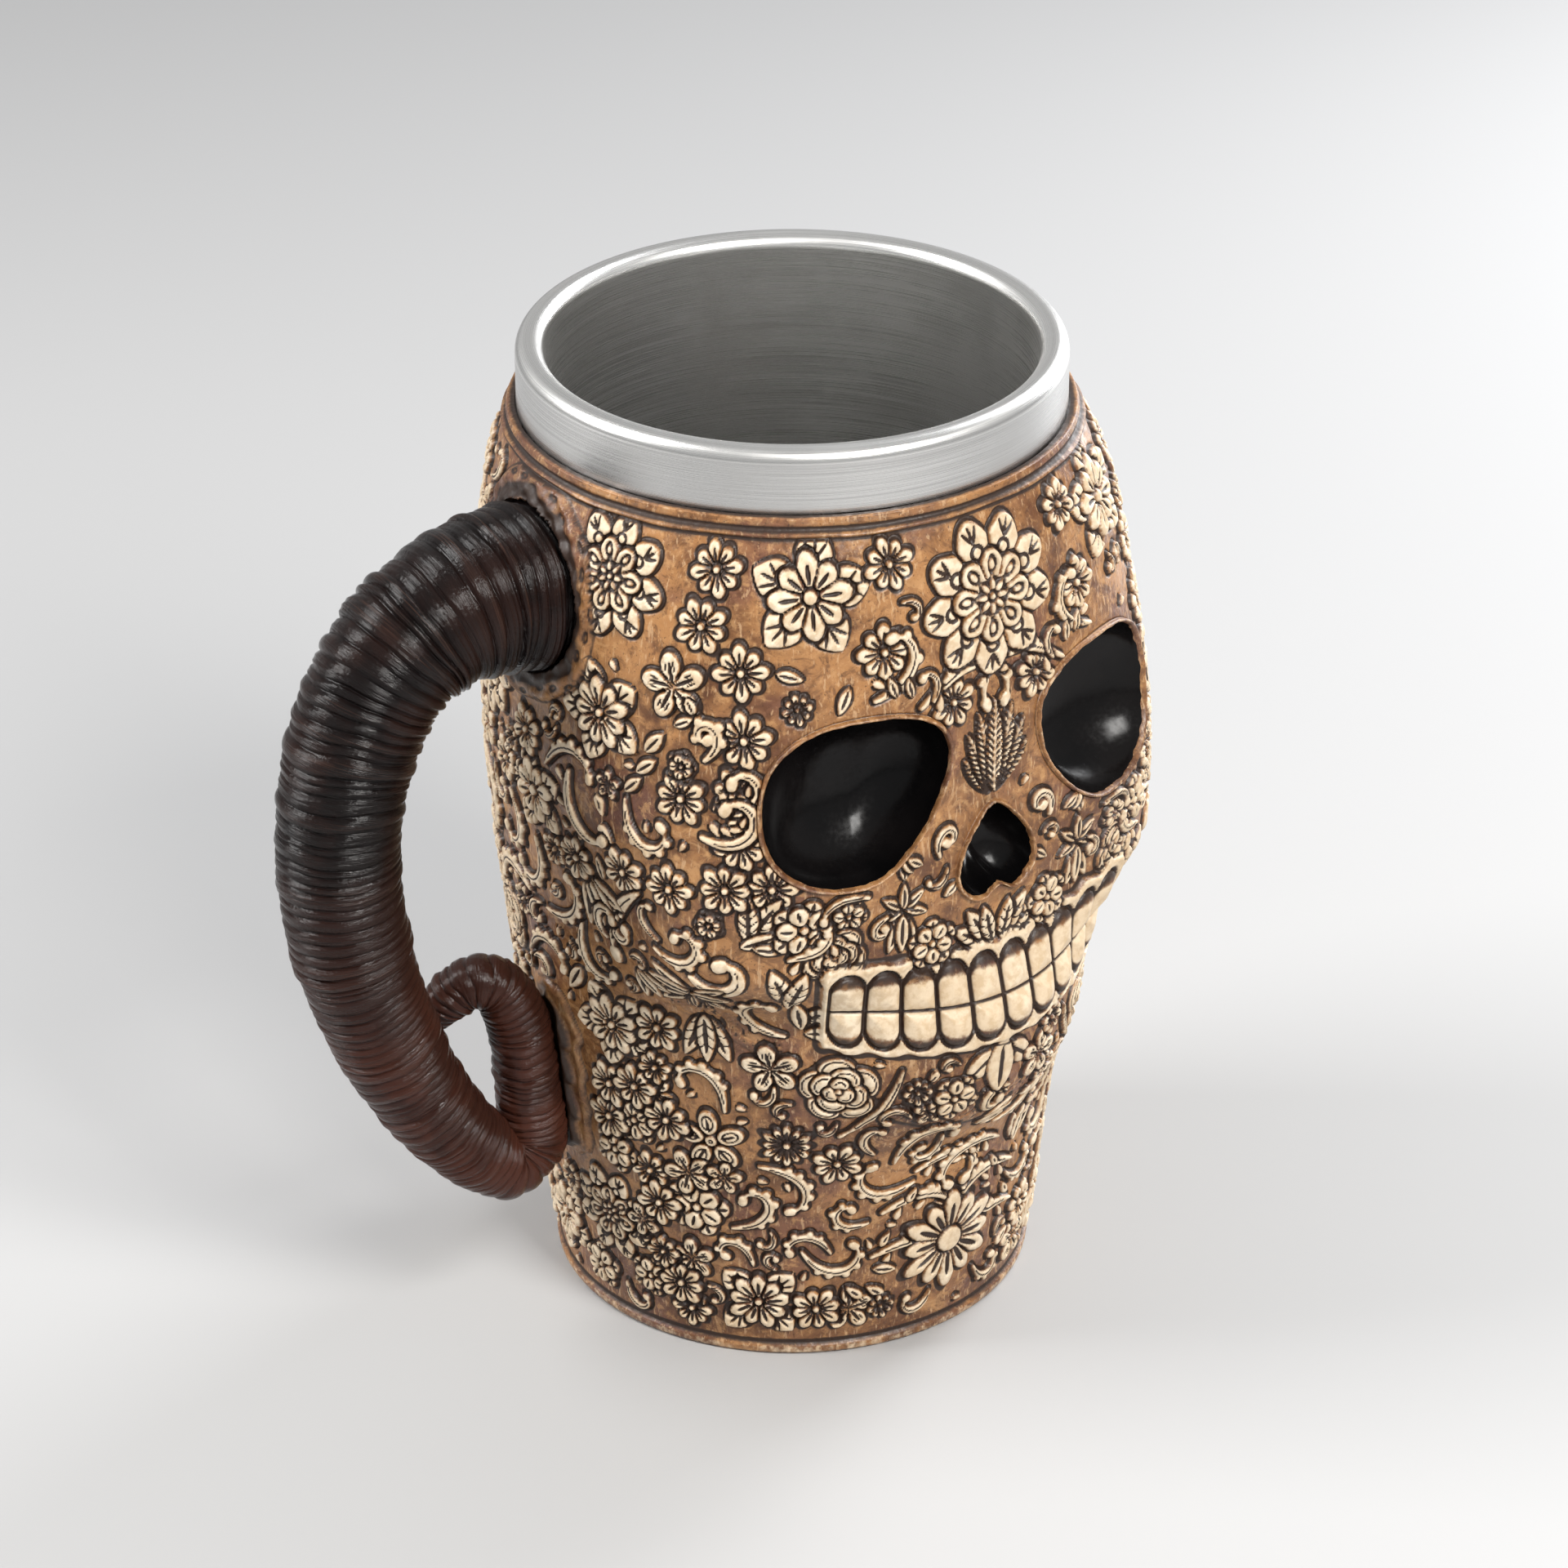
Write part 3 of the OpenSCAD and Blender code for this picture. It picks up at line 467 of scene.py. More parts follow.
def blossom(sheet, az, h, size, turn=0.0, petals=5, top=0.85):
    """Round petals over a second ring of petals, with short slits at their ends."""
    at, x, y = sheet.place(az, h, size * 1.2)
    a, c, _ = fold(x, y, petals, turn + math.pi / petals)
    sheet.press(at, parted(oval(a, c, 0.66 * size, 0.34 * size, 0.33 * size), a, c, petals), top * 0.8)
    sheet.cut(at, slit(a, c, 0.66 * size, 0.28 * size, 0.05 * size + 0.04), 0.35)
    a, c, _ = fold(x, y, petals, turn)
    sheet.press(at, parted(oval(a, c, 0.46 * size, 0.36 * size, 0.29 * size), a, c, petals), top)
    sheet.cut(at, slit(a, c, 0.30 * size, 0.40 * size, 0.04 * size + 0.04), 0.45)
    sheet.press(at, 0.13 * size - np.hypot(x, y), top, line=0.8)


def rose(sheet, az, h, size, turn=0.0, top=0.9):
    """Rings of five, four and three petals, each ring over the one outside it, and a bud in the middle."""
    at, x, y = sheet.place(az, h, size * 1.2)
    rings = (
        (5, 0.64, 0.36, 0.46, 0.0, 0.80),
        (4, 0.40, 0.30, 0.36, 0.5, 0.90),
        (3, 0.20, 0.20, 0.22, 0.2, 1.0),
    )
    for n, mid, half, wide, more, high in rings:
        a, c, _ = fold(x, y, n, turn + more)
        d = parted(oval(a, c, mid * size, half * size, wide * size), a, c, n, 0.09)
        sheet.press(at, d, top * high, dome=0.45)
        sheet.cut(at, np.minimum(0.12 - np.abs(d - 0.09 * size), a - mid * size), 0.3)
    sheet.press(at, 0.07 * size - np.hypot(x, y), top * 1.1, line=0.5)


def leaf(sheet, az, h, size, heading, wide=0.3, veins=3, top=0.7):
    """Pointed leaf from its base along a heading, with a middle vein and side veins in pairs."""
    at, x, y = sheet.place(az, h, size * 1.1)
    a, c = turn_to(x, y, heading)
    d = leaf_shape(a, c, 0.0, size, wide * size)
    sheet.press(at, d, top, dome=0.35)
    sheet.cut(at, slit(a, c, 0.08 * size, 0.72 * size, 0.03 * size + 0.09), 0.35)
    if veins > 1:
        pitch = 0.62 * size / veins
        side = (a - 0.18 * size - np.abs(c) * 0.9) / pitch
        near = np.abs(side - np.round(side)) * pitch
        inside = (np.round(side) >= 0) & (np.round(side) < veins) & (np.abs(c) > 0.1)
        line = np.where(inside, 0.11 - near * 0.75, -1)
        sheet.cut(at, np.minimum(line, d - 0.12), 0.28)


def feather(sheet, az, h, size, heading, wide=0.13, top=0.75):
    """Long leaf with herringbone cuts from a middle rib."""
    at, x, y = sheet.place(az, h, size * 1.1)
    a, c = turn_to(x, y, heading)
    d = leaf_shape(a, c, 0, size, wide * size, 0.6)
    sheet.press(at, d, top, dome=0.2)
    pitch = 1.15
    side = (a - np.abs(c) * 1.2) / pitch
    near = np.abs(side - np.round(side)) * pitch
    sheet.cut(at, np.minimum(np.minimum(0.17 - near * 0.64, np.abs(c) - 0.12), d + 0.1), 0.5)
    sheet.press(at, np.minimum(0.17 - np.abs(c), d - 0.1), top * 1.05, line=0.4)


def drop(sheet, az, h, size, heading, wide=0.3, top=0.7):
    """Seed: an oval that is narrower at its base, with a short slit where it is long enough."""
    at, x, y = sheet.place(az, h, size * 1.1)
    a, c = turn_to(x, y, heading)
    t = np.clip(a / size, 0, 1)
    w = np.minimum(wide * size * (0.45 + 0.75 * t), FAR)
    past = 3 * np.maximum(np.abs(a / size - 0.5) - 0.5, 0) * size
    d = w * np.sqrt(np.clip(1 - (2 * t - 1) ** 2, 0, 1)) - np.abs(c) - past
    sheet.press(at, d, top, dome=0.4)
    if size > 2.6:
        sheet.cut(at, slit(a, c, 0.3 * size, 0.45 * size, 0.05 * size + 0.03), 0.25)


def path_points(heading, long, bend0, bend1):
    """Curve whose bend runs evenly from bend0 to bend1 turns over its length: heading, x and y at points."""
    s = np.linspace(0, 1, PATH_POINTS)
    way = heading + 2 * math.pi * (bend0 * s + (bend1 - bend0) * s * s / 2)
    mid = (way[1:] + way[:-1]) / 2
    step = long / (PATH_POINTS - 1)
    x = np.concatenate([[0], np.cumsum(np.sin(mid) * step)])
    y = np.concatenate([[0], np.cumsum(np.cos(mid) * step)])
    return way, x, y


def stroke_distance(x, y, px, py, pr):
    """Distance inside a stroke: the greatest of radius minus distance over its segments."""
    best = np.full(x.shape, -FAR)
    for i in range(len(px) - 1):
        ux, uy = px[i + 1] - px[i], py[i + 1] - py[i]
        t = np.clip(((x - px[i]) * ux + (y - py[i]) * uy) / (ux * ux + uy * uy + 1e-9), 0, 1)
        r = pr[i] + (pr[i + 1] - pr[i]) * t
        best = np.maximum(best, r - np.hypot(x - px[i] - ux * t, y - py[i] - uy * t))
    return best


def scroll(sheet, az, h, long, heading, bend0, bend1, thin=0.35, thick=0.8, knob=1.0,
           lobes=0, lobe_side=1, seeds=0, top=0.85):
    """Scroll: a stroke that swells from thin to thick along a curve of evenly changing bend, with a knob.
    Lobes scallop its outer side, and seeds lie along its inner side."""
    way, px, py = path_points(heading, long, bend0, bend1)
    s = np.linspace(0, 1, len(px))
    pr = thin + (thick - thin) * np.sin(math.pi * np.clip(s * 1.15, 0, 1) ** 1.2) ** 0.8
    pr = np.maximum(pr, thin * 0.8)
    pr[-1] = pr[-2] = thin + knob * 0.5 * (thick - thin) + 0.25 * knob
    reach = float(np.max(np.hypot(px, py))) + 2.6
    at, x, y = sheet.place(az, h, reach)
    d = stroke_distance(x, y, px, py, pr)
    side = 1 if lobe_side > 0 else -1
    for i in range(lobes):
        j = int((0.30 + 0.52 * i / max(lobes - 1, 1)) * (len(px) - 1))
        nx, ny = side * np.cos(way[j]), -side * np.sin(way[j])
        grow = thick * (0.95 - 0.25 * abs(i / max(lobes - 1, 1) - 0.5))
        bx = px[j] + nx * pr[j] * 0.9 + np.sin(way[j]) * 0.4
        by = py[j] + ny * pr[j] * 0.9 + np.cos(way[j]) * 0.4
        d = np.maximum(d, grow - np.hypot(x - bx, y - by))
    sheet.press(at, d, top, dome=0.4)
    inner = stroke_distance(x, y, px[3:-5], py[3:-5], np.full(len(px) - 8, 0.13))
    sheet.cut(at, np.minimum(inner, 0.2), 0.2)
    scale = mm_per_degree(az, h)
    for i in range(seeds):
        j = int((0.18 + 0.5 * i / max(seeds - 1, 1)) * (len(px) - 1))
        nx, ny = -side * np.cos(way[j]), side * np.sin(way[j])
        drop(sheet, az + (px[j] + nx * (pr[j] + 0.25)) / scale, h + py[j] + ny * (pr[j] + 0.25),
             2.5 - 0.2 * i, math.atan2(nx, ny) - side * 0.7, wide=0.3, top=0.65)


def fan(sheet, az, h, size, heading, spread_angle, n, wide, veins):
    """Leaves that fan out from one place, the outer ones first."""
    for i in sorted(range(n), key=lambda i: -abs(i - (n - 1) / 2)):
        t = (i - (n - 1) / 2) / max((n - 1) / 2, 1)
        leaf(sheet, az, h, size, heading + t * spread_angle, wide=wide, veins=veins)


def rosette(sheet, az, h, size, turn=0.0, leaves=9, petals=8):
    """Large rosette: a ring of three-lobed leaves, a ring of round petals with seeds, a small centre."""
    at, x, y = sheet.place(az, h, size * 1.12)
    a, c, _ = fold(x, y, leaves, turn + math.pi / leaves)
    d = oval(a, c, 0.72 * size, 0.27 * size, 0.22 * size)
    d = np.maximum(d, leaf_shape(a, c, 0.5 * size, 0.50 * size, 0.15 * size))
    for side in (-1, 1):
        d = np.maximum(d, oval(a, c - side * 0.13 * size, 0.68 * size, 0.19 * size, 0.12 * size))
    sheet.press(at, parted(d, a, c, leaves, 0.16), 0.72, dome=0.4)
    three_veins(sheet, at, a, c, size, 0.70, 0.5, 0.22, 0.018)
    ring = 0.035 * size - np.abs(np.hypot(a - 0.60 * size, c) - 0.085 * size)
    sheet.cut(at, np.minimum(ring - 0.01 * size, 0.2), 0.3)
    a, c, _ = fold(x, y, petals, turn)
    lobe = parted(oval(a, c, 0.38 * size, 0.20 * size, 0.17 * size), a, c, petals, 0.1)
    sheet.press(at, np.maximum(lobe, 0.26 * size - np.hypot(x, y)), 0.95, dome=0.3)
    loop = 0.085 * size - np.hypot((a - 0.40 * size) * 0.75, c * 1.15)
    sheet.cut(at, loop, 0.55)
    sheet.press(at, oval(a, c, 0.395 * size, 0.075 * size, 0.045 * size), 0.90, line=0.3)
    centre = 0.235 * size - np.hypot(x, y)
    sheet.cut(at, np.minimum(centre, 0.3), 0.5)
    sheet.press(at, oval(a, c, 0.145 * size, 0.085 * size, 0.042 * size), 0.9, line=0.5)
    sheet.press(at, 0.045 * size - np.hypot(x, y), 0.92, line=0.6)


def leafed_flower(sheet, az, h, size, turn=0.0, petals=8, leaves=5, leaf_turn=0.35, core=0.12):
    """Flower of long petals over a ring of pointed leaves with three veins each."""
    at, x, y = sheet.place(az, h, size * 1.15)
    a, c, _ = fold(x, y, leaves, leaf_turn)
    d = leaf_shape(a, c, 0.30 * size, 0.76 * size, 0.33 * size, 0.75)
    sheet.press(at, parted(d, a, c, leaves), 0.7, dome=0.35)
    three_veins(sheet, at, a, c, size, 0.56, 0.62, 0.34, 0.02)
    daisy(sheet, az, h, size * 0.72, turn, petals=petals, core=core / 0.72, top=0.95)


def teeth_relief(sheet):
    """Two rows of teeth: blocks with round ends in a raised gum that comes down between them, parted by dark
    lines. A tooth is a rounded box: corner - length of the part beyond the corner's centre."""
    az, h = np.meshgrid(turned(sheet.az), sheet.h)
    up = h - bite(az)
    long = np.where(up > 0, UPPER_TOOTH, LOWER_TOOTH)
    v = np.abs(up)
    arc_mm = math.radians(1) * TEETH_R
    middle = (np.floor(az / TOOTH_AZ) + 0.5) * TOOTH_AZ
    inside = np.abs(middle) < ARCH_AZ
    half = TOOTH_AZ * arc_mm / 2 - 0.26
    corner = half - 0.15
    qx = np.abs(az - middle) * arc_mm - (half - corner)
    qy = (v - (long - 0.2 - corner)) * 0.8
    d = corner - np.hypot(np.maximum(qx, 0), np.maximum(qy, 0))
    d = np.where(inside, np.minimum(d, v - 0.10), -FAR)
    gx = np.abs(az) * arc_mm - ARCH_AZ * arc_mm
    wave = 0.5 * np.abs(np.cos(np.pi * az / TOOTH_AZ)) + 0.3 * np.sin(az * 0.9 + up)
    gum = 1.25 - np.hypot(np.maximum(gx, 0), np.maximum(v - long - 1.2 + wave, 0))
    zone = (gx < 3.2) & (v < long + 4.0)
    m = smooth(gum, -0.3, 0.6) * zone
    sheet.cover(m, high=0.95 + 0.25 * smooth(gum, 0.2, 1.0) - 0.25 * bell(d + 0.9, 0.5),
                bone=0.6 + 0.4 * smooth(gum, 0.0, 0.9))
    sheet.stain(m, bell(gum + 0.55, 0.35) * zone * 0.75)
    well = smooth(d, -0.62, -0.30) * inside
    sheet.cover(well, high=0.3, bone=0)
    sheet.stain(0, 0.62 * well)
    root = smooth(v, long - 3.0, long - 0.5)
    sheet.cover(smooth(d, -0.12, 0.16), high=0.5 + 1.25 * np.sqrt(np.clip(d / 2.3, 0, 1)),
                ink=0.55 * bell(d - 0.05, 0.22) + 0.30 * root,
                bone=1 - 0.62 * root - 0.25 * (1 - smooth(d, 0.1, 0.9)))
    sheet.gap = np.where(zone, np.minimum(sheet.gap, -gum - 0.3), sheet.gap)


def plain_edges(sheet):
    """The beads and grooves of the neck, the pale edge of the foot and the line under the jaw."""
    az, h = np.meshgrid(turned(sheet.az), sheet.h)
    wob = 0.10 * np.sin(np.radians(az) * 7 + 1.3) + 0.06 * np.sin(np.radians(az) * 19 + 0.4)
    top = smooth(h, 144.9, 145.2)
    bead = 0.62 * bell(h - 145.75 - wob, 0.34) + 0.55 * bell(h - 147.3, 0.55)
    dark = bell(h - 146.45 - wob / 2, 0.30) + 0.6 * bell(h - 145.1 - wob, 0.22)
    sheet.cover(top, high=bead - 0.10, bone=0.42 * np.clip(bead, 0, 1))
    sheet.stain(top, np.clip(dark, 0, 1) * 0.85)
    foot = 1 - smooth(h, 1.5, 2.0)
    sheet.cover(foot, high=0.55, bone=0.5)
    sheet.stain(foot, 0.75 * bell(h - 2.3, 0.35))
    sheet.gap = np.minimum(sheet.gap, np.minimum(PLAIN_ABOVE - h, h - 2.6))
    line = h - jaw_line(az) + 0.4
    near = bell(az, 62)
    free = 1 - smooth(sheet.bone, 0.1, 0.5)
    sheet.stain(0, 0.75 * bell(line, 0.55) * near * free)
    sheet.high -= 0.25 * bell(line, 0.7) * near * free


def horn_joint(sheet):
    """A mound of resin round the horn's root and along its tail, cracked across and stained."""
    at, x, y = sheet.place(HORN_AZ, HORN_H, 21.0)
    phi = np.arctan2(x, y)
    rho = np.hypot(x, y) + 0.35 * np.sin(5 * phi + 0.6) + 0.2 * np.sin(11 * phi)
    wave = 0.16 * np.sin(9 * phi + rho * 2.4) + 0.12 * np.sin(23 * phi - rho * 1.3)
    sheet.press(at, ROOT_MOUND_R - rho, 0.72, dome=0.3, edge=0.9, line=0.35)
    sheet.high[at] += wave * (rho < ROOT_MOUND_R - 0.6)
    near = smooth(18.2 - rho, 0, 1.2)
    sheet.bone[at] *= 1 - near * 0.9
    crack = 0.9 * bell(rho - 14.1, 0.9) + 0.4 * bell(wave + 0.2, 0.06)
    sheet.ink[at] = np.maximum(sheet.ink[at], near * crack)
    at, x, y = sheet.place(HORN_AZ, TAIL_MOUND_H, 20.0)
    wave = 0.4 * np.sin(y * 0.9) + 0.25 * np.sin(x * 1.7 + y)
    tail = TAIL_MOUND_R - np.hypot(x, np.maximum(np.abs(y) - TAIL_MOUND_HALF, 0)) + wave
    sheet.press(at, tail, 0.72, dome=0.4, edge=0.7, line=0.3)
    sheet.high[at] = np.maximum(sheet.high[at], 1.9 * smooth(tail, 0.4, 3.4))
    sheet.bone[at] *= 1 - 0.85 * smooth(tail, -0.6, 0.2)
    sheet.ink[at] = np.maximum(sheet.ink[at], 0.7 * smooth(tail, 1.2, 3.6))


MIRRORED = [
    # motif, azimuth, height, size, heading (for a scroll heading, first and last bend), more
    (leafed_flower, 35.3, 137.6, 8.9, dict(turn=0.1, leaf_turn=-0.12)),
    (daisy, 52.1, 141.0, 4.1, dict(turn=0.2)), (daisy, 54.1, 132.9, 4.2, dict(turn=0.5)),
    (daisy, 47.0, 126.6, 4.4, dict(turn=0.1)), (daisy, 20.6, 141.0, 4.0, dict(turn=0.3)),
    (daisy, 22.4, 128.2, 4.5, dict(turn=0.0)), (daisy, 9.4, 118.0, 4.1, dict(turn=0.4)),
    (daisy, 46.2, 116.6, 4.5, dict(turn=0.2)), (daisy, 46.9, 108.4, 4.3, dict(turn=0.6)),
    (daisy, 46.5, 100.6, 4.4, dict(turn=0.3)), (daisy, 41.6, 93.6, 4.3, dict(turn=0.0)),
    (daisy, 67.6, 91.0, 4.4, dict(turn=0.5)), (daisy, 58.2, 91.4, 4.2, dict(turn=0.1)),
    (clover, 58.4, 123.4, 5.2, dict(turn=0.2)),
    (rosette, 72.6, 137.0, 9.4, dict(leaves=8, petals=7, turn=0.2)),
    (leafed_flower, 72.6, 116.0, 7.8, dict(turn=0.2, petals=9, leaf_turn=0.4, core=0.09)),
    (scroll, 16.0, 118.6, 23.0, (-0.98, 0.05, -0.95),
     dict(thin=0.45, thick=1.0, lobes=5, lobe_side=1, seeds=2)),
    (scroll, 24.5, 121.2, 15.5, (-1.28, 0.0, 1.05),
     dict(thin=0.4, thick=0.9, lobes=3, lobe_side=-1, seeds=1)),
    (scroll, 13.5, 119.2, 6.5, (-0.5, 0.0, 1.0), dict(thin=0.35, thick=0.6, lobes=0)),
    (leaf, 17.5, 120.4, 3.4, 0.2, dict(wide=0.22, veins=1)),
    (leaf, 20.4, 121.0, 3.6, 0.35, dict(wide=0.22, veins=1)),
    (scroll, 50.6, 105.8, 15.0, (-1.75, 0.12, 1.45), dict(thin=0.45, thick=0.9, seeds=4, lobe_side=-1)),
    (scroll, 52.6, 101.0, 17.0, (-1.9, 0.15, 1.35), dict(thin=0.5, thick=1.0, seeds=4, lobe_side=-1)),
    (scroll, 52.5, 113.0, 12.0, (-0.85, 0.1, 2.0), dict(thin=0.4, thick=0.9, lobes=4, seeds=0, lobe_side=-1)),
    (leaf, 63.0, 112.4, 4.6, -0.7, dict(wide=0.26, veins=1)),
    (leaf, 64.6, 108.8, 4.4, -0.9, dict(wide=0.24, veins=1)),
    (leaf, 66.8, 105.2, 4.2, -0.8, dict(wide=0.24, veins=1)), (drop, 71.4, 99.4, 3.6, 0.3, dict(wide=0.36)),
    (drop, 69.4, 95.4, 3.6, 0.9, dict(wide=0.36)), (leaf, 58.0, 117.5, 3.4, -1.1, dict(wide=0.24, veins=1)),
    (leaf, 54.5, 119.6, 3.0, 0.5, dict(wide=0.3, veins=1)),
    (leaf, 45.8, 84.2, 9.5, -0.62, dict(wide=0.19, veins=4)),
    (leaf, 45.2, 84.4, 8.0, 0.02, dict(wide=0.2, veins=4)),
    (leaf, 46.6, 83.6, 7.0, -1.25, dict(wide=0.17, veins=1)),
    (leaf, 44.6, 83.4, 5.4, -1.7, dict(wide=0.18, veins=1)),
    (blossom, 36.6, 86.2, 5.2, dict(turn=0.3)), (blossom, 29.4, 87.4, 3.1, dict(turn=0.1)),
    (rose, 31.6, 80.6, 5.2, dict(turn=0.6)),
    (scroll, 39.0, 81.2, 9.5, (-1.3, -0.2, 0.9), dict(thin=0.4, thick=0.8, lobes=3, seeds=2)),
    (fan, 19.5, 86.4, 4.6, 0.0, dict(spread_angle=1.9, n=5, wide=0.18, veins=1)),
    (fan, 19.7, 85.4, 6.8, math.pi, dict(spread_angle=0.36, n=3, wide=0.17, veins=1)),
    (scroll, 22.6, 85.8, 7.0, (1.9, 0.1, 1.6), dict(thin=0.35, thick=0.65)),
    (scroll, 26.0, 90.2, 9.0, (1.3, 0.06, 0.55), dict(thin=0.35, thick=0.6)),
    (leaf, 19.6, 91.4, 4.2, -0.1, dict(wide=0.24, veins=1)),
    (leaf, 17.8, 92.2, 4.2, 0.5, dict(wide=0.24, veins=1)),
    (leaf, 15.9, 93.0, 3.4, 1.0, dict(wide=0.24, veins=1)),
    (scroll, 12.4, 93.4, 9.5, (0.4, -0.2, -1.7), dict(thin=0.4, thick=0.75)),
    (leaf, 8.6, 88.4, 3.4, 2.2, dict(wide=0.24, veins=1)),
    (leaf, 38.6, 71.4, 8.6, 0.35, dict(wide=0.2, veins=3)),
    (leaf, 39.4, 70.6, 8.4, -0.35, dict(wide=0.2, veins=3)),
    (leaf, 37.4, 66.8, 7.4, -1.0, dict(wide=0.2, veins=3)),
    (leaf, 36.4, 64.6, 6.4, -1.5, dict(wide=0.2, veins=1)),
    (leaf, 36.8, 65.2, 6.6, 0.15, dict(wide=0.2, veins=1)),
    (rose, 30.0, 54.0, 6.3, dict(turn=0.1)), (clover, 42.6, 57.2, 4.8, dict(turn=0.2)),
    (scroll, 42.0, 53.4, 6.4, (3.2, -0.1, -1.0), dict(thin=0.35, thick=0.6)),
    (scroll, 64.4, 88.4, 17.0, (2.25, 0.06, 0.32), dict(thin=0.4, thick=1.3, knob=1.4)),
    (scroll, 54.6, 77.4, 14.5, (-2.5, 0.25, 1.2), dict(thin=0.6, thick=1.25)),
    (fan, 54.8, 72.6, 8.6, math.pi / 2 - 0.05, dict(spread_angle=0.55, n=4, wide=0.14, veins=1)),
    (fan, 55.8, 72.6, 6.6, -math.pi / 2 - 0.1, dict(spread_angle=0.5, n=3, wide=0.15, veins=1)),
    (fan, 55.4, 72.0, 4.4, math.pi, dict(spread_angle=0.45, n=4, wide=0.16, veins=1)),
    (fan, 55.2, 66.0, 9.6, math.pi, dict(spread_angle=0.42, n=3, wide=0.17, veins=3)),
    (leafed_flower, 76.7, 58.6, 7.4, dict(turn=0.2, petals=9, leaf_turn=0.5, core=0.09)),
    (clover, 67.1, 48.4, 3.4, dict(turn=0.6, petals=5)), (star, 55.4, 41.4, 5.9, dict(turn=0.1, petals=5)),
    (daisy, 39.6, 42.0, 4.3, dict(petals=12)), (blossom, 59.6, 27.6, 5.5, dict(turn=0.4)),
    (blossom, 73.4, 41.4, 4.4, dict(turn=0.1, petals=6)), (daisy, 70.6, 32.4, 3.8, dict(turn=0.2)),
    (rosette, 83.6, 20.4, 8.6, dict(leaves=8, petals=7)), (clover, 73.6, 22.0, 3.2, dict(turn=0.4)),
    (clover, 61.4, 17.2, 3.9, dict(turn=0.1, petals=5)), (blossom, 73.0, 11.0, 3.9, dict(turn=0.3)),
    (leafed_flower, 46.2, 10.4, 7.4, dict(turn=0.0, petals=9, leaf_turn=0.78, leaves=4, core=0.09)),
    (clover, 25.4, 8.6, 4.4, dict(turn=0.0)), (daisy, 62.5, 7.0, 3.6, dict()),
    (scroll, 18.6, 26.6, 20.5, (-1.12, -0.06, -0.95), dict(thin=0.4, thick=1.0, lobes=6, seeds=3)),
    (scroll, 20.6, 18.2, 20.5, (-1.22, -0.03, -0.95), dict(thin=0.4, thick=1.0, lobes=6, seeds=3)),
    (scroll, 11.4, 33.6, 18.0, (-1.05, -0.06, -0.95), dict(thin=0.4, thick=0.95, lobes=5, seeds=3)),
    (scroll, 18.8, 57.4, 16.5, (2.9, -0.10, -0.16), dict(thin=0.3, thick=0.75, knob=0.3, lobes=0)),
    (scroll, 16.6, 48.2, 8.0, (0.6, 0.2, 1.1), dict(thin=0.3, thick=0.6)),
    (clover, 13.2, 49.0, 2.9, dict(turn=0.0)), (drop, 14.2, 54.2, 2.8, -0.6, dict()),
    (leaf, 7.0, 53.6, 7.4, -0.9, dict(wide=0.28, veins=1)),
    (scroll, 2.6, 49.8, 10.5, (-1.2, -0.35, -1.3), dict(thin=0.4, thick=0.9)),
    (drop, 21.5, 12.4, 3.8, -2.2, dict(wide=0.28)), (drop, 26.2, 12.8, 3.6, -2.3, dict(wide=0.28)),
    (drop, 16.4, 22.6, 3.0, 2.6, dict()), (drop, 10.6, 30.0, 2.8, 2.6, dict()),
    # the sides and the back
    (scroll, 80.0, 104.0, 16.0, (2.9, 0.1, 0.75), dict(thin=0.5, thick=1.1, seeds=3)),
    (leafed_flower, 92.0, 96.0, 7.6, dict(turn=0.3, leaf_turn=0.2)),
    (fan, 78.6, 86.0, 9.0, -2.5, dict(spread_angle=0.6, n=4, wide=0.16, veins=1)),
    (scroll, 70.4, 81.6, 8.0, (2.4, 0.3, 1.3), dict(thin=0.4, thick=0.9)),
    (scroll, 73.6, 76.8, 9.5, (1.3, -0.4, -1.0), dict(thin=0.4, thick=0.9)),
    (fan, 66.8, 73.4, 6.5, -2.6, dict(spread_angle=0.5, n=3, wide=0.18, veins=1)),
    (rosette, 112.0, 112.0, 10.4, dict(leaves=9, turn=0.1)), (daisy, 116.0, 133.8, 4.4, dict()),
    (daisy, 103.6, 97.0, 4.0, dict(turn=0.4)), (clover, 122.6, 98.0, 4.6, dict(turn=0.3)),
    (scroll, 120.0, 92.0, 18.0, (-2.0, -0.1, -0.9), dict(thin=0.5, thick=1.1, lobes=5, seeds=3)),
    (leafed_flower, 132.0, 126.0, 8.6, dict(turn=0.2, leaf_turn=0.1)),
    (daisy, 146.0, 138.6, 4.1, dict(turn=0.3)),
    (daisy, 126.6, 139.4, 3.9, dict()), (daisy, 160.0, 131.0, 4.3, dict(turn=0.2)),
    (scroll, 140.0, 108.0, 19.0, (0.9, 0.06, 0.95),
     dict(thin=0.5, thick=1.1, lobes=5, lobe_side=-1, seeds=3)),
    (star, 160.0, 112.0, 6.0, dict(turn=0.2, petals=6)), (blossom, 142.0, 96.0, 5.4, dict()),
    (rose, 158.0, 94.0, 6.0, dict(turn=0.3)), (daisy, 172.0, 101.0, 4.2, dict(turn=0.3)),
    (scroll, 98.0, 76.0, 18.0, (1.1, 0.05, 1.0), dict(thin=0.5, thick=1.1, lobes=5, lobe_side=-1, seeds=3)),
    (rose, 112.0, 66.0, 6.2, dict(turn=0.2)), (blossom, 98.0, 52.0, 5.4, dict(turn=0.4)),
    (leafed_flower, 130.0, 74.0, 8.2, dict(turn=0.2, leaf_turn=0.3)), (daisy, 146.0, 80.0, 4.3, dict()),
    (scroll, 146.0, 64.0, 18.0, (1.0, 0.05, 1.0), dict(thin=0.5, thick=1.1, lobes=5, lobe_side=-1, seeds=3)),
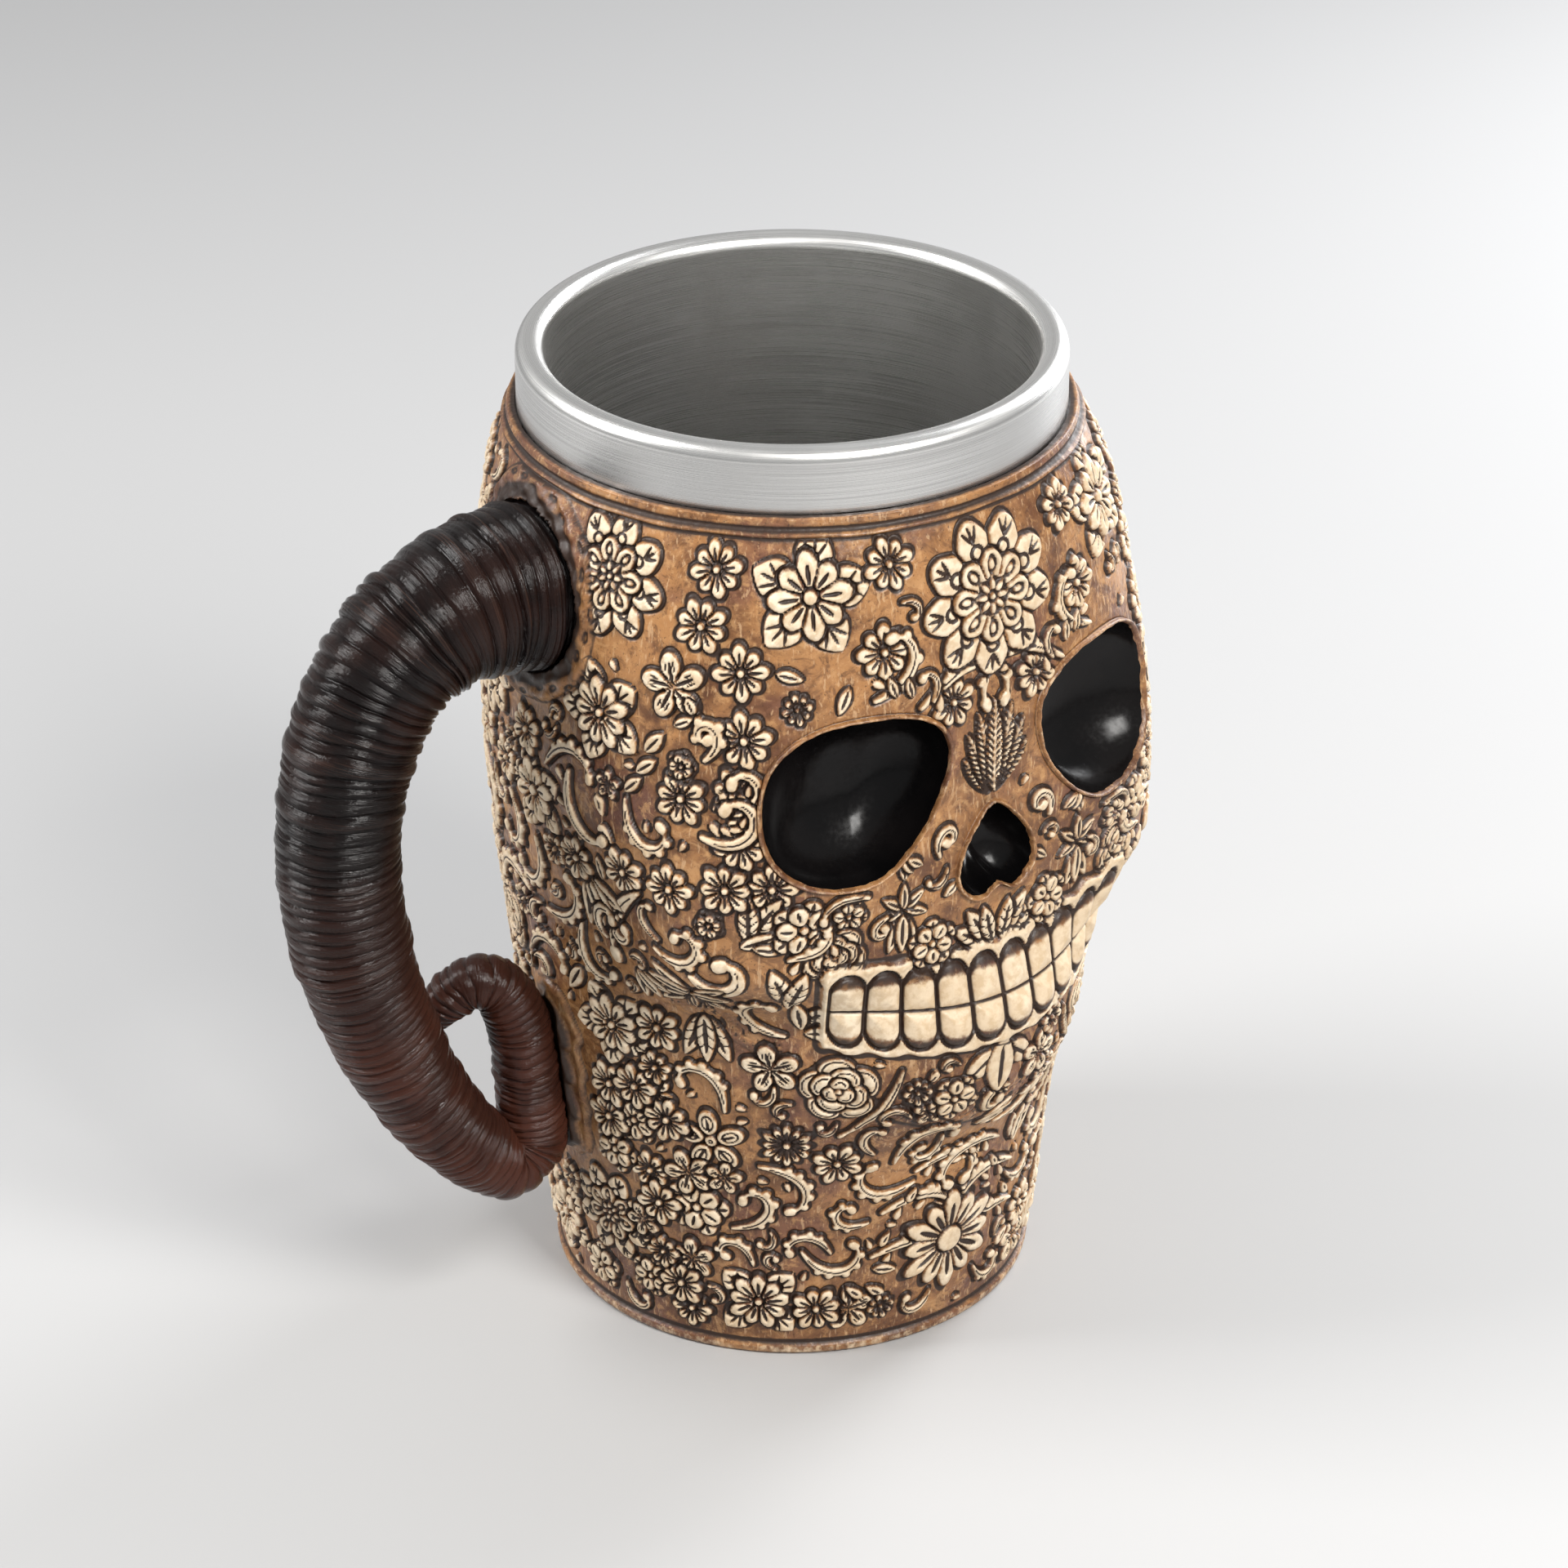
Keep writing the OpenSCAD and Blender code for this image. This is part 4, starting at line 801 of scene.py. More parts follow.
    (daisy, 120.0, 50.0, 4.5, dict(turn=0.2)), (star, 108.0, 36.0, 6.0, dict(petals=5)),
    (rosette, 130.0, 30.0, 9.6, dict(turn=0.3)), (clover, 146.0, 46.0, 4.6, dict(turn=0.5)),
    (leafed_flower, 104.0, 13.0, 7.6, dict(turn=0.1, leaf_turn=0.5)),
    (blossom, 150.0, 17.0, 5.4, dict(turn=0.2)),
    (scroll, 166.0, 34.0, 18.0, (-1.0, -0.05, -1.0), dict(thin=0.5, thick=1.1, lobes=5, seeds=3)),
    (daisy, 166.0, 60.0, 4.4, dict(turn=0.1)),
    (daisy, 119.0, 10.0, 4.0, dict()),
    (clover, 166.0, 10.0, 4.6, dict()),
]
SINGLE = [
    (rosette, 0.0, 132.6, 12.4, dict(leaves=9, petals=8, turn=0.05)),
    (daisy, -0.4, 17.4, 9.6, dict(petals=12, core=0.24)),
    (leaf, 0.0, 49.4, 11.0, 0.0, dict(wide=0.24, veins=1)),
    (rosette, 180.0, 122.0, 12.0, dict(leaves=9, turn=0.2)),
    (rosette, 180.0, 78.0, 10.4, dict(leaves=8, turn=0.1)),
    (leafed_flower, 180.0, 48.0, 8.6, dict(turn=0.3)),
    (daisy, 180.0, 22.0, 9.0, dict(petals=12, core=0.22)),
]


def press_motifs(sheet):
    """Presses the listed motifs, both sides of the face, then the feathers between the sockets and the leaves
    over the teeth."""
    for shape, az, h, size, *way, more in MIRRORED:
        for side in (-1, 1):
            if shape is scroll:
                lobes = dict(more, lobe_side=side * more.get("lobe_side", 1))
                scroll(sheet, side * az, h, size, *[side * value for value in way[0]], **lobes)
            elif way:
                shape(sheet, side * az, h, size, side * way[0], **more)
            else:
                turns = {key: value * side for key, value in more.items() if key in ("turn", "leaf_turn")}
                shape(sheet, side * az, h, size, **dict(more, **turns))
    for shape, az, h, size, *way, more in SINGLE:
        shape(sheet, az, h, size, *way, **more)
    for lean, long in ((0.78, 9.5), (0.50, 12.6), (0.25, 14.6)):
        for side in (-1, 1):
            feather(sheet, 0.0, 100.6, long, side * lean * 0.9, wide=1.5 / long, top=0.85)
    feather(sheet, 0.0, 100.6, 15.6, 0.0, wide=1.5 / 15.6, top=0.85)
    for side in (-1, 1):
        for lean, long in ((1.45, 7.4), (1.05, 8.6), (0.62, 8.6), (0.24, 7.2)):
            leaf(sheet, side * 1.0, 75.6, long, side * lean, wide=0.19, veins=3, top=0.8)


FILLERS = (
    # kind, length, half width, room kept, rounds
    ("acanthus", 15.0, 1.75, 0.45, 9), ("flower", 0.0, 4.3, 0.60, 5), ("acanthus", 10.5, 1.35, 0.45, 8),
    ("fan", 7.0, 2.3, 0.40, 6), ("flower", 0.0, 3.1, 0.60, 4), ("curl", 8.5, 0.75, 0.50, 9),
    ("leaf", 6.4, 1.35, 0.50, 7), ("flower", 0.0, 2.4, 0.60, 2), ("curl", 5.2, 0.55, 0.55, 5),
    ("leaf", 4.4, 0.95, 0.60, 5), ("seed", 1.9, 0.60, 0.60, 4),
)


def gap_at(sheet, az, h):
    """Gap at places given in degrees and millimetres, nothing beyond the neck and the foot."""
    col = np.round((az - sheet.az[0]) / (sheet.az[1] - sheet.az[0])).astype(int) % len(sheet.az)
    row = np.clip(np.searchsorted(sheet.h, h), 0, len(sheet.h) - 1)
    return np.where((h < PLAIN_BELOW) | (h > PLAIN_ABOVE), -1.0, sheet.gap[row, col])


def fill_ground(sheet, seed):
    """Fills bare ground: for each kind, many random strokes are tried at once, and those that fit with least
    room to spare are pressed first. The brow stays nearly bare, with small pieces beside the sockets."""
    rng = np.random.default_rng(seed)
    s = np.linspace(0, 1, 9)
    for kind, long, half, room, rounds in FILLERS:
        for _ in range(rounds):
            az, h = rng.uniform(-180, 180, TRIES), rng.uniform(3, 143, TRIES)
            heading = rng.uniform(0, 2 * math.pi, TRIES)
            bend0, bend1 = rng.choice([-1, 1], TRIES) * rng.uniform(0.0, 0.12, TRIES), np.zeros(TRIES)
            if kind in ("acanthus", "curl"):
                bend1 = np.sign(bend0) * rng.uniform(0.8, 1.5, TRIES)
            way = heading[:, None] + 2 * math.pi * (bend0[:, None] * s + (bend1 - bend0)[:, None] * s * s / 2)
            step = long / (len(s) - 1)
            scale = math.radians(1) * bone_r(turned(az), h)
            x = np.cumsum(np.sin(way), 1) * step - np.sin(way[:, :1]) * step
            y = np.cumsum(np.cos(way), 1) * step - np.cos(way[:, :1]) * step
            px, py = az[:, None] + x / scale[:, None], h[:, None] + y
            width = half * (0.55 + 0.45 * np.sin(math.pi * s)) if long else np.full(len(s), half)
            slack = (gap_at(sheet, px, py) - width).min(1)
            calm = (h > 112) & (np.abs(az) < 84) | (h > 80) & (np.abs(az) < 40)
            slack[calm & ((long > 6) | (half > 2.5) | (rng.random(TRIES) < 0.92))] = -1
            for i in np.argsort(slack):
                if slack[i] < room or (gap_at(sheet, px[i], py[i]) - width).min() < room:
                    continue
                fill_one(sheet, kind, az[i], h[i], long, half, heading[i], (bend0[i], bend1[i]), rng)


def fill_one(sheet, kind, az, h, long, half, heading, bends, rng):
    """One filling piece of its kind."""
    if kind == "acanthus":
        scroll(sheet, az, h, long, heading, *bends, thin=0.34, thick=0.22 + 0.36 * half,
               lobes=int(long / 2.6), lobe_side=-np.sign(bends[1]), top=0.85)
    elif kind == "curl":
        scroll(sheet, az, h, long, heading, *bends, thin=0.26, thick=half, knob=0.8, top=0.8)
    elif kind == "flower":
        flower = (daisy, clover, blossom, daisy)[rng.integers(4)]
        flower(sheet, az, h, half, heading)
    elif kind == "fan":
        fan(sheet, az, h, long, heading, spread_angle=0.42, n=3, wide=0.17, veins=1)
    elif kind == "leaf":
        leaf(sheet, az, h, long, heading, wide=half / long, veins=1)
    else:
        drop(sheet, az, h, long, heading, wide=half / long, top=0.6)


def stipple(sheet, seed):
    """Fine casting texture: small random dimples, coarser along the jaw's lower edge, and wash that pools on
    the ground beside the relief, 0.34 * exp(-gap / 0.7)."""
    rng = np.random.default_rng(seed + 1)
    noise = rng.normal(size=sheet.high.shape)
    soft = noise.copy()
    for axis in (0, 1):
        soft = (np.roll(soft, 1, axis) + 2 * soft + np.roll(soft, -1, axis)) / 4
    az, h = np.meshgrid(turned(sheet.az), sheet.h)
    line = h - jaw_line(az)
    rough = smooth(line, 0.3, 1.0) * (1 - smooth(line, 4.0, 6.5)) * (np.abs(az) < 62)
    ground = 1 - smooth(sheet.bone, 0.2, 0.8)
    sheet.high += soft * (0.030 + 0.20 * rough * ground)
    pool = 0.34 * np.exp(-np.maximum(sheet.gap, 0) / 0.7) * ground
    sheet.ink = np.clip(sheet.ink + np.clip(-soft * 1.6 - 0.25, 0, 0.6) * rough * ground + pool, 0, 1)


def channel_limit(az, h):
    """Radius at which the horn's tail channel and root recess start, or a large number elsewhere."""
    b = np.radians(turned(az - HORN_AZ))
    low, high = HORN_KNOTS[14], HORN_KNOTS[17]
    t = np.clip((h - low[1]) / (high[1] - low[1]), 0, 1)
    x = low[0] + (high[0] - low[0]) * t
    wide = low[3] + (high[3] - low[3]) * t + 0.15
    beyond = np.maximum(low[1] - h, h - high[1])
    under = wide ** 2 - np.maximum(beyond, 0) ** 2 - (x * np.sin(b)) ** 2
    near = np.abs(b) < 0.6
    r = np.where((under > 0) & near, x * np.cos(b) - np.sqrt(np.maximum(under, 0)), 999.0)
    root_x = HORN_KNOTS[0, 0]
    root = np.hypot(root_x * np.sin(b), h - HORN_H) < 12.7
    return np.where(root & near, (root_x - 0.2) / np.cos(b), r)


def shell_surface(s):
    """Rows and columns of the shell's outer surface in mm: outer level minus inset, minus relief plus motifs.
    Under the linings of the sockets and the nose it sinks out of sight."""
    az = SEAM_AZ + np.arange(s.columns) * 360.0 / s.columns
    h = np.concatenate([[0.0], np.linspace(0.35, TOP_ROW_H, s.rows - 1)])
    sheet = Sheet(az, h)
    press_motifs(sheet)
    teeth_relief(sheet)
    horn_joint(sheet)
    plain_edges(sheet)
    a, z = np.meshgrid(turned(az), h)
    q, n = socket(a, z), nose_share(a, z)
    beside = np.hypot(a * AZ_MM / (NOSE_W + 1.4), (z - NOSE_TOP + NOSE_V / 2) / (NOSE_V / 2 + 1.2))
    clear = np.minimum(smooth(q, 0.99, 1.05), smooth(beside, 0.95, 1.1))
    sheet.high *= clear
    sheet.bone *= clear
    sheet.gap = np.minimum(sheet.gap, np.minimum((q - 1.03) * EYE_V, (beside - 1.0) * NOSE_W))
    fill_ground(sheet, s.seed)
    stipple(sheet, s.seed)
    relief, inset = s.relief / MM, s.inset / MM
    base = bone_r(a, z)
    r = base - inset - relief + np.minimum(sheet.high, 1.9) * relief / 0.95
    r = np.minimum(r, np.where(sheet.high > 1.0, base + 0.85, base - inset))
    bowl = (EYE_DEEP + 0.8) * np.sqrt(np.clip(1 - np.clip(q, 0, 1) ** (8 / 3), 0, 1))
    well = (NOSE_DEEP + 0.8) * smooth(1.0 - n, 0, 0.06)
    r = r - np.maximum(1.6 * smooth(1.022 - q, 0, 0.04) + bowl, 1.6 * smooth(1.08 - n, 0, 0.08) + well)
    side = np.radians(a)
    low, high = [corner / MM for corner in SHELL_BOX]
    for limit, share in ((high.x, np.abs(np.sin(side))), (-low.y, np.cos(side)), (high.y, -np.cos(side))):
        r = np.minimum(r, (limit - 0.03) / np.maximum(share, 1e-3))
    r = np.minimum(r, channel_limit(a, z))
    r[0] -= 0.55
    r[1] -= 0.12
    top = r[-1]
    extra_r, extra_z = [], []
    for inward, up in ((0.0, 0.32), (0.12, 0.44), (0.34, 0.50)):
        extra_r.append(top - inward)
        extra_z.append(np.full_like(top, TOP_ROW_H + up))
    for share in (0.25, 0.5, 0.75, 1.0):
        extra_r.append((top - 0.34) + (RIM_R + STEEL_GAP - top + 0.34) * share)
        extra_z.append(np.full_like(top, SHELL_H))
    r = np.vstack([r] + extra_r)
    z = np.vstack([z] + extra_z)
    rows = len(extra_r)
    ink = np.vstack([sheet.ink] + [np.full_like(top, 0.15 + 0.12 * i) for i in range(rows)])
    bone = np.vstack([sheet.bone] + [np.full_like(top, 0.4 - 0.05 * i) for i in range(rows)])
    high = np.vstack([sheet.high] + [np.full_like(top, 0.4)] * rows)
    rad = np.radians(az)[None, :]
    xyz = np.stack([r * np.sin(rad), -r * np.cos(rad), z], -1)
    return xyz, ink, bone, high


def grid_normals(xyz):
    """Normals of a grid that closes on itself: cross product of its differences along columns and rows."""
    du = np.roll(xyz, -1, 1) - np.roll(xyz, 1, 1)
    dv = np.gradient(xyz, axis=0)
    n = np.cross(du, dv)
    return n / np.maximum(np.linalg.norm(n, axis=-1, keepdims=True), 1e-12)


# Meshes

def new_object(name, verts_mm, blocks, smooth_faces=True):
    """Object at the origin with a mesh from millimetre points. A block is an array with a face in a row."""
    mesh = bpy.data.meshes.new(name)
    verts = np.asarray(verts_mm, dtype=np.float64) * MM
    counts = np.concatenate([np.full(len(block), block.shape[1], np.int32) for block in blocks])
    loops = np.concatenate([block.ravel() for block in blocks])
    mesh.vertices.add(len(verts))
    mesh.vertices.foreach_set("co", verts.astype(np.float32).ravel())
    mesh.loops.add(len(loops))
    mesh.loops.foreach_set("vertex_index", loops.astype(np.int32))
    mesh.polygons.add(len(counts))
    starts = np.concatenate([[0], np.cumsum(counts)[:-1]]).astype(np.int32)
    mesh.polygons.foreach_set("loop_start", starts)
    mesh.update(calc_edges=True)
    mesh.validate()
    mesh.polygons.foreach_set("use_smooth", np.full(len(mesh.polygons), smooth_faces))
    obj = bpy.data.objects.new(name, mesh)
    bpy.context.scene.collection.objects.link(obj)
    return obj


def add_values(obj, **values):
    """Point attributes of one float each."""
    for name, value in values.items():
        layer = obj.data.attributes.new(name, "FLOAT", "POINT")
        layer.data.foreach_set("value", np.asarray(value, dtype=np.float32).ravel())


def add_uv(obj, uv, name="OFBake"):
    """UV map from one pair per face corner."""
    layer = obj.data.uv_layers.new(name=name)
    layer.uv.foreach_set("vector", np.asarray(uv, dtype=np.float32).ravel())


def add_normals(obj, loop_normals):
    """Corner normals worked out on the whole surface, so that neighbouring pieces shade as one."""
    obj.data.normals_split_custom_set(np.asarray(loop_normals, dtype=np.float32))


def grid_quads(rows, cols, wrap):
    """Quads of a grid, counted along columns first, facing outwards when columns run anticlockwise."""
    i = np.arange(rows - 1)[:, None]
    j = np.arange(cols if wrap else cols - 1)[None, :]
    a = i * cols + j
    b = i * cols + (j + 1) % cols
    return np.stack([a, b, b + cols, a + cols], -1).reshape(-1, 4)


def hub_faces(start, n, hub, corners=(0, 1, 2)):
    """Triangles from each side of a ring of n points to a hub; the order of corners turns them in or out."""
    j = np.arange(n)
    return np.stack([start + j, start + (j + 1) % n, np.full(n, hub)], -1)[:, list(corners)]


def mesh_numbers(items, field):
    """One whole number for each of a mesh's items."""
    numbers = np.empty(len(items), np.int32)
    items.foreach_get(field, numbers)
    return numbers


def arc(x, z, r, first, last, n):
    """Points of a profile on a circle round x and z, from the first to the last angle in degrees."""
    return [(x + r * math.cos(t), z + r * math.sin(t)) for t in np.radians(np.linspace(first, last, n))]


def inner_profile():
    """Radius and height of the shell's inner side, from the band's groove down the cup's room to the axis."""
    low = CUP_FLOOR_R + SHEET_T + STEEL_GAP
    slope = (MOUTH_R - CUP_FLOOR_R) / (LIP_Z - CUP_Z)
    groove_in = RIM_R - SHEET_T - STEEL_GAP
    bottom = SHELL_H - BAND_SEAT
    points = [(RIM_R + STEEL_GAP, bottom), (groove_in, bottom), (groove_in, SHELL_H),
              (low + slope * (SHELL_H - CUP_Z), SHELL_H)]
    points += arc(low - CUP_CORNER_R, CUP_Z + CUP_CORNER_R - STEEL_GAP, CUP_CORNER_R, 0, -90, 9)
    return points + [(0.0, SHELL_FLOOR)]


def wedge(name, xyz, normals, ink, bone, high, az0, az1):
    """A closed wedge of the shell: the relief outside, the cup's room inside, plain faces between."""
    rows, cols = xyz.shape[:2]
    profile = inner_profile()
    w = np.radians(np.linspace(az0, az1, INNER_COLUMNS))
    ring = [np.stack([r * np.sin(w), -r * np.cos(w), np.full_like(w, z)], -1) for r, z in profile[:-1]]
    axis = [[0, 0, profile[-1][1]], [0, 0, 0]]
    verts = np.concatenate([xyz.reshape(-1, 3)] + ring + [axis])
    base = rows * cols
    m = len(ring)
    top_axis = base + m * INNER_COLUMNS
    low_axis = top_axis + 1
    inner = base + np.arange(m * INNER_COLUMNS).reshape(m, INNER_COLUMNS)
    first = np.arange(cols)
    last = (rows - 1) * cols + first
    left = np.arange(rows) * cols
    right = left + cols - 1
    blocks = [
        grid_quads(rows, cols, False),
        np.concatenate([last, inner[0][::-1]])[None],
        base + grid_quads(m, INNER_COLUMNS, False),
        np.stack([inner[-1][:-1], inner[-1][1:], np.full(INNER_COLUMNS - 1, top_axis)], -1),
        np.concatenate([first[::-1], [low_axis]])[None],
        np.concatenate([left[::-1], [low_axis, top_axis], inner[::-1, 0]])[None],
        np.concatenate([right, inner[:, -1], [top_axis, low_axis]])[None],
    ]
    obj = new_object(name, verts, blocks)
    extra = len(verts) - base
    values = {"ink": ink, "bone": bone, "high": high}
    add_values(obj, **{key: np.append(value, np.full(extra, INSIDE[key])) for key, value in values.items()})
    mesh = obj.data
    index = mesh_numbers(mesh.loops, "vertex_index")
    n_outer = len(blocks[0])
    outer_loops = n_outer * 4
    u, v = np.meshgrid(np.arange(cols) / (cols - 1), np.arange(rows) / (rows - 1))
    uv_outer = np.stack([0.004 + 0.992 * u, 0.125 + 0.87 * v], -1).reshape(-1, 2)
    uv = np.zeros((len(index), 2))
    uv[:outer_loops] = uv_outer[index[:outer_loops]]
    face_normals = np.zeros((len(mesh.polygons), 3), np.float32)
    mesh.polygons.foreach_get("normal", face_normals.ravel())
    totals = mesh_numbers(mesh.polygons, "loop_total")
    face_of = np.repeat(np.arange(len(totals)), totals)
    loop_n = face_normals[face_of]
    loop_n[:outer_loops] = normals.reshape(-1, 3)[index[:outer_loops]]
    uv[outer_loops:] = plain_face_uv(verts[index[outer_loops:]], face_of[outer_loops:] - n_outer)
    add_uv(obj, uv)
    edges = mesh_numbers(mesh.loops, "edge_index")
    sharp = np.zeros(len(mesh.edges), bool)
    sharp[edges[outer_loops:]] = True
    mesh.attributes.new("sharp_edge", "BOOLEAN", "EDGE").data.foreach_set("value", sharp)
    add_normals(obj, loop_n)
    return obj


def plain_face_uv(p, number):
    """A cell of the strip below the relief for each plain face of a wedge, from its corners' points and its
    number. Corners are laid out by azimuth and height, on the two cut sides by radius, on the foot by x and
    y, and each face is stretched over its cell."""
    pieces = number[-1] + 1
    cell = 1.0 / pieces
    radius = np.hypot(p[:, 0], p[:, 1])
    along = np.stack([np.degrees(np.arctan2(p[:, 0], -p[:, 1])), p[:, 2] + 0.37 * radius], -1)
    side = number >= pieces - 2
    along[side, 0] = radius[side]
    bottom = number == pieces - 3
    along[bottom] = p[bottom][:, :2]
    uv = np.zeros((len(p), 2))
    for k in range(pieces):
        mine = number == k
        lo, hi = along[mine].min(0), along[mine].max(0)
        share = (along[mine] - lo) / np.maximum(hi - lo, 1e-6)
        uv[mine] = np.stack([(k + 0.1 + 0.8 * share[:, 0]) * cell, 0.004 + 0.10 * share[:, 1]], -1)
    return uv


def lining(name, edge, side, deep, s, ring_w, fit):
    """Lining of a cavity: a bone bead outside its edge, then a glossy bowl, deep * sqrt(1 - k^(8/3)). Its
    last ring is closed with a fan, and a plain back closes the piece."""
    relief, inset = s.relief / MM, s.inset / MM
    w = np.linspace(0, 2 * math.pi, AROUND, endpoint=False)
    wave = 0.10 * np.sin(9 * w + 0.5) + 0.09 * np.sin(23 * w + 1.0) + 0.07 * np.sin(41 * w)
    outer = 1 + ring_w * np.linspace(1, 0, BEAD_RINGS)
    inner = np.sin(np.linspace(math.pi / 2, 0.0, BOWL_RINGS)) ** 0.9
    inner = np.concatenate([[0.9985, 0.996, 0.991], inner[inner < 0.985][:-1]])
    rings = []
    for k in outer:
        a, z = edge(w, k * fit)
        t = (k - 1) / ring_w
        arch = np.sqrt(max(0.0, 1 - (2 * t - 1) ** 2)) if t > 0 else 0
        up = relief * BEAD_SHARE * arch + wave * (1 - t)
        r = bone_r(a, z) - inset - relief + up - 0.25 * smooth(t, 0.8, 1.0) - 0.05
        rings.append((a, z, np.minimum(r, bone_r(a, z) - inset)))
    for k in inner:
        a, z = edge(w, k * fit)
        sink = deep * math.sqrt(max(0.0, 1 - k ** (8 / 3)))
        rings.append((a, z, bone_r(a, z) - inset - relief - 0.1 - sink * 0.97))
    a, z, r = [np.stack(values) for values in zip(*rings)]
    pts = np.stack([r * np.sin(np.radians(a)), -r * np.cos(np.radians(a)), z], -1)
    rows = len(rings)
    rim = pts[0]
    scale = (np.hypot(rim[:, 0], rim[:, 1]) - (deep + 3.0)) / np.hypot(rim[:, 0], rim[:, 1])
    back = np.stack([rim[:, 0] * scale, rim[:, 1] * scale, rim[:, 2]], -1)
    verts = np.concatenate([pts.reshape(-1, 3), [pts[-1].mean(0)], back])
    j = np.arange(AROUND)
    nxt = (j + 1) % AROUND
    hub = rows * AROUND
    start = hub + 1
    blocks = [
        grid_quads(rows, AROUND, True)[:, ::-1],
        hub_faces(hub - AROUND, AROUND, hub, (0, 2, 1)),
        np.stack([j, start + j, start + nxt, nxt], -1),
        (start + j[::-1])[None],
    ]
    if side < 0:
        verts = verts * [-1, 1, 1]
        blocks = [block[:, ::-1] for block in blocks]

    def by_ring(values, middle, behind):
        """Values for the rings from the outside, nought further in, then those of the hub and the back."""
        values = np.concatenate([values, np.zeros(rows - len(values))])
        return np.concatenate([np.repeat(values, AROUND), [middle], np.full(AROUND, behind)])

    obj = new_object(name, verts, blocks)
    add_values(obj,
               lacquer=by_ring(np.arange(rows) >= BEAD_RINGS - 1, 1.0, 0.0),
               ink=by_ring(BEAD_INK, 0.0, 0.5),
               bone=by_ring(BEAD_BONE, 0.0, 0.0),
               high=np.full(len(verts), 0.5))
    return obj


# Materials

class Nodes:
    """Short ways to add shader nodes to one material."""

    def __init__(self, name):
        self.material = bpy.data.materials.new(name)
        self.material.use_nodes = True
        self.tree = self.material.node_tree
        self.tree.nodes.clear()
        self.out = self.add("ShaderNodeOutputMaterial")
        self.shader = self.add("ShaderNodeBsdfPrincipled")
        self.link(self.shader.outputs[0], self.out.inputs[0])

    def add(self, kind, **settings):
        """New node with its settings."""
        node = self.tree.nodes.new(kind)
        for key, value in settings.items():
            setattr(node, key, value)
        return node

    def link(self, a, b):
        """Joins an output to an input."""
        self.tree.links.new(a, b)

    def feed(self, value, socket):
        """Joins another node's output to an input, or sets the input's own value; a colour is made opaque."""
        if hasattr(value, "is_output"):
            self.link(value, socket)
        elif isinstance(value, tuple):
            socket.default_value = (*value, 1.0)
        else:
            socket.default_value = value

    def set(self, **values):
        """Feeds inputs of the shader, with an underscore for each space in their names."""
        for key, value in values.items():
            self.feed(value, self.shader.inputs[key.replace("_", " ")])

    def value_of(self, name):
        """A point attribute of the mesh."""
        return self.add("ShaderNodeAttribute", attribute_name=name).outputs["Fac"]

    def place(self):
        """Position on the object in metres."""
        return self.add("ShaderNodeTexCoord").outputs["Object"]

    def uv(self, name="OFBake"):
        """Position on a UV map."""
        return self.add("ShaderNodeUVMap", uv_map=name).outputs[0]

    def stretched(self, vector, scale, turn=(0, 0, 0)):
        """A position turned and scaled along each axis."""
        node = self.add("ShaderNodeMapping")
        self.link(vector, node.inputs["Vector"])
        node.inputs["Scale"].default_value = scale
        node.inputs["Rotation"].default_value = turn
        return node.outputs[0]

    def noise(self, vector, scale, detail=4.0, rough=0.55, lumpy=0.0):
        """Fractal noise from 0 to 1."""
        node = self.add("ShaderNodeTexNoise")
        self.link(vector, node.inputs["Vector"])
        node.inputs["Scale"].default_value = scale
        node.inputs["Detail"].default_value = detail
        node.inputs["Roughness"].default_value = rough
        node.inputs["Distortion"].default_value = lumpy
        return node.outputs["Fac"]

    def uneven(self, value, noise, amount):
        """The value plus amount * (noise - 0.5)."""
        return self.math("ADD", value, self.math("MULTIPLY", self.math("SUBTRACT", noise, 0.5), amount))

    def math(self, kind, a, b):
        """Sum, difference or product of two values."""
        node = self.add("ShaderNodeMath", operation=kind)
        self.feed(a, node.inputs[0])
        self.feed(b, node.inputs[1])
        return node.outputs[0]

    def span(self, value, low, high, to_low=0.0, to_high=1.0):
        """Smooth step of a value from one span to another."""
        node = self.add("ShaderNodeMapRange", interpolation_type="SMOOTHSTEP")
        self.link(value, node.inputs["Value"])
        for key, v in (("From Min", low), ("From Max", high), ("To Min", to_low), ("To Max", to_high)):
            node.inputs[key].default_value = v
        return node.outputs[0]

    def mix(self, share, a, b):
        """Colour between a and b by the share of b."""
        node = self.add("ShaderNodeMix", data_type="RGBA")
        colours = [socket for socket in node.inputs if socket.type == "RGBA"]
        for socket, value in ((node.inputs[0], share), (colours[0], a), (colours[1], b)):
            self.feed(value, socket)
        return [socket for socket in node.outputs if socket.type == "RGBA"][0]

    def bump(self, height, strength, distance):
        """Normal bent by a height."""
        node = self.add("ShaderNodeBump")
        node.inputs["Strength"].default_value = strength
        node.inputs["Distance"].default_value = distance
        self.link(height, node.inputs["Height"])
        return node.outputs[0]


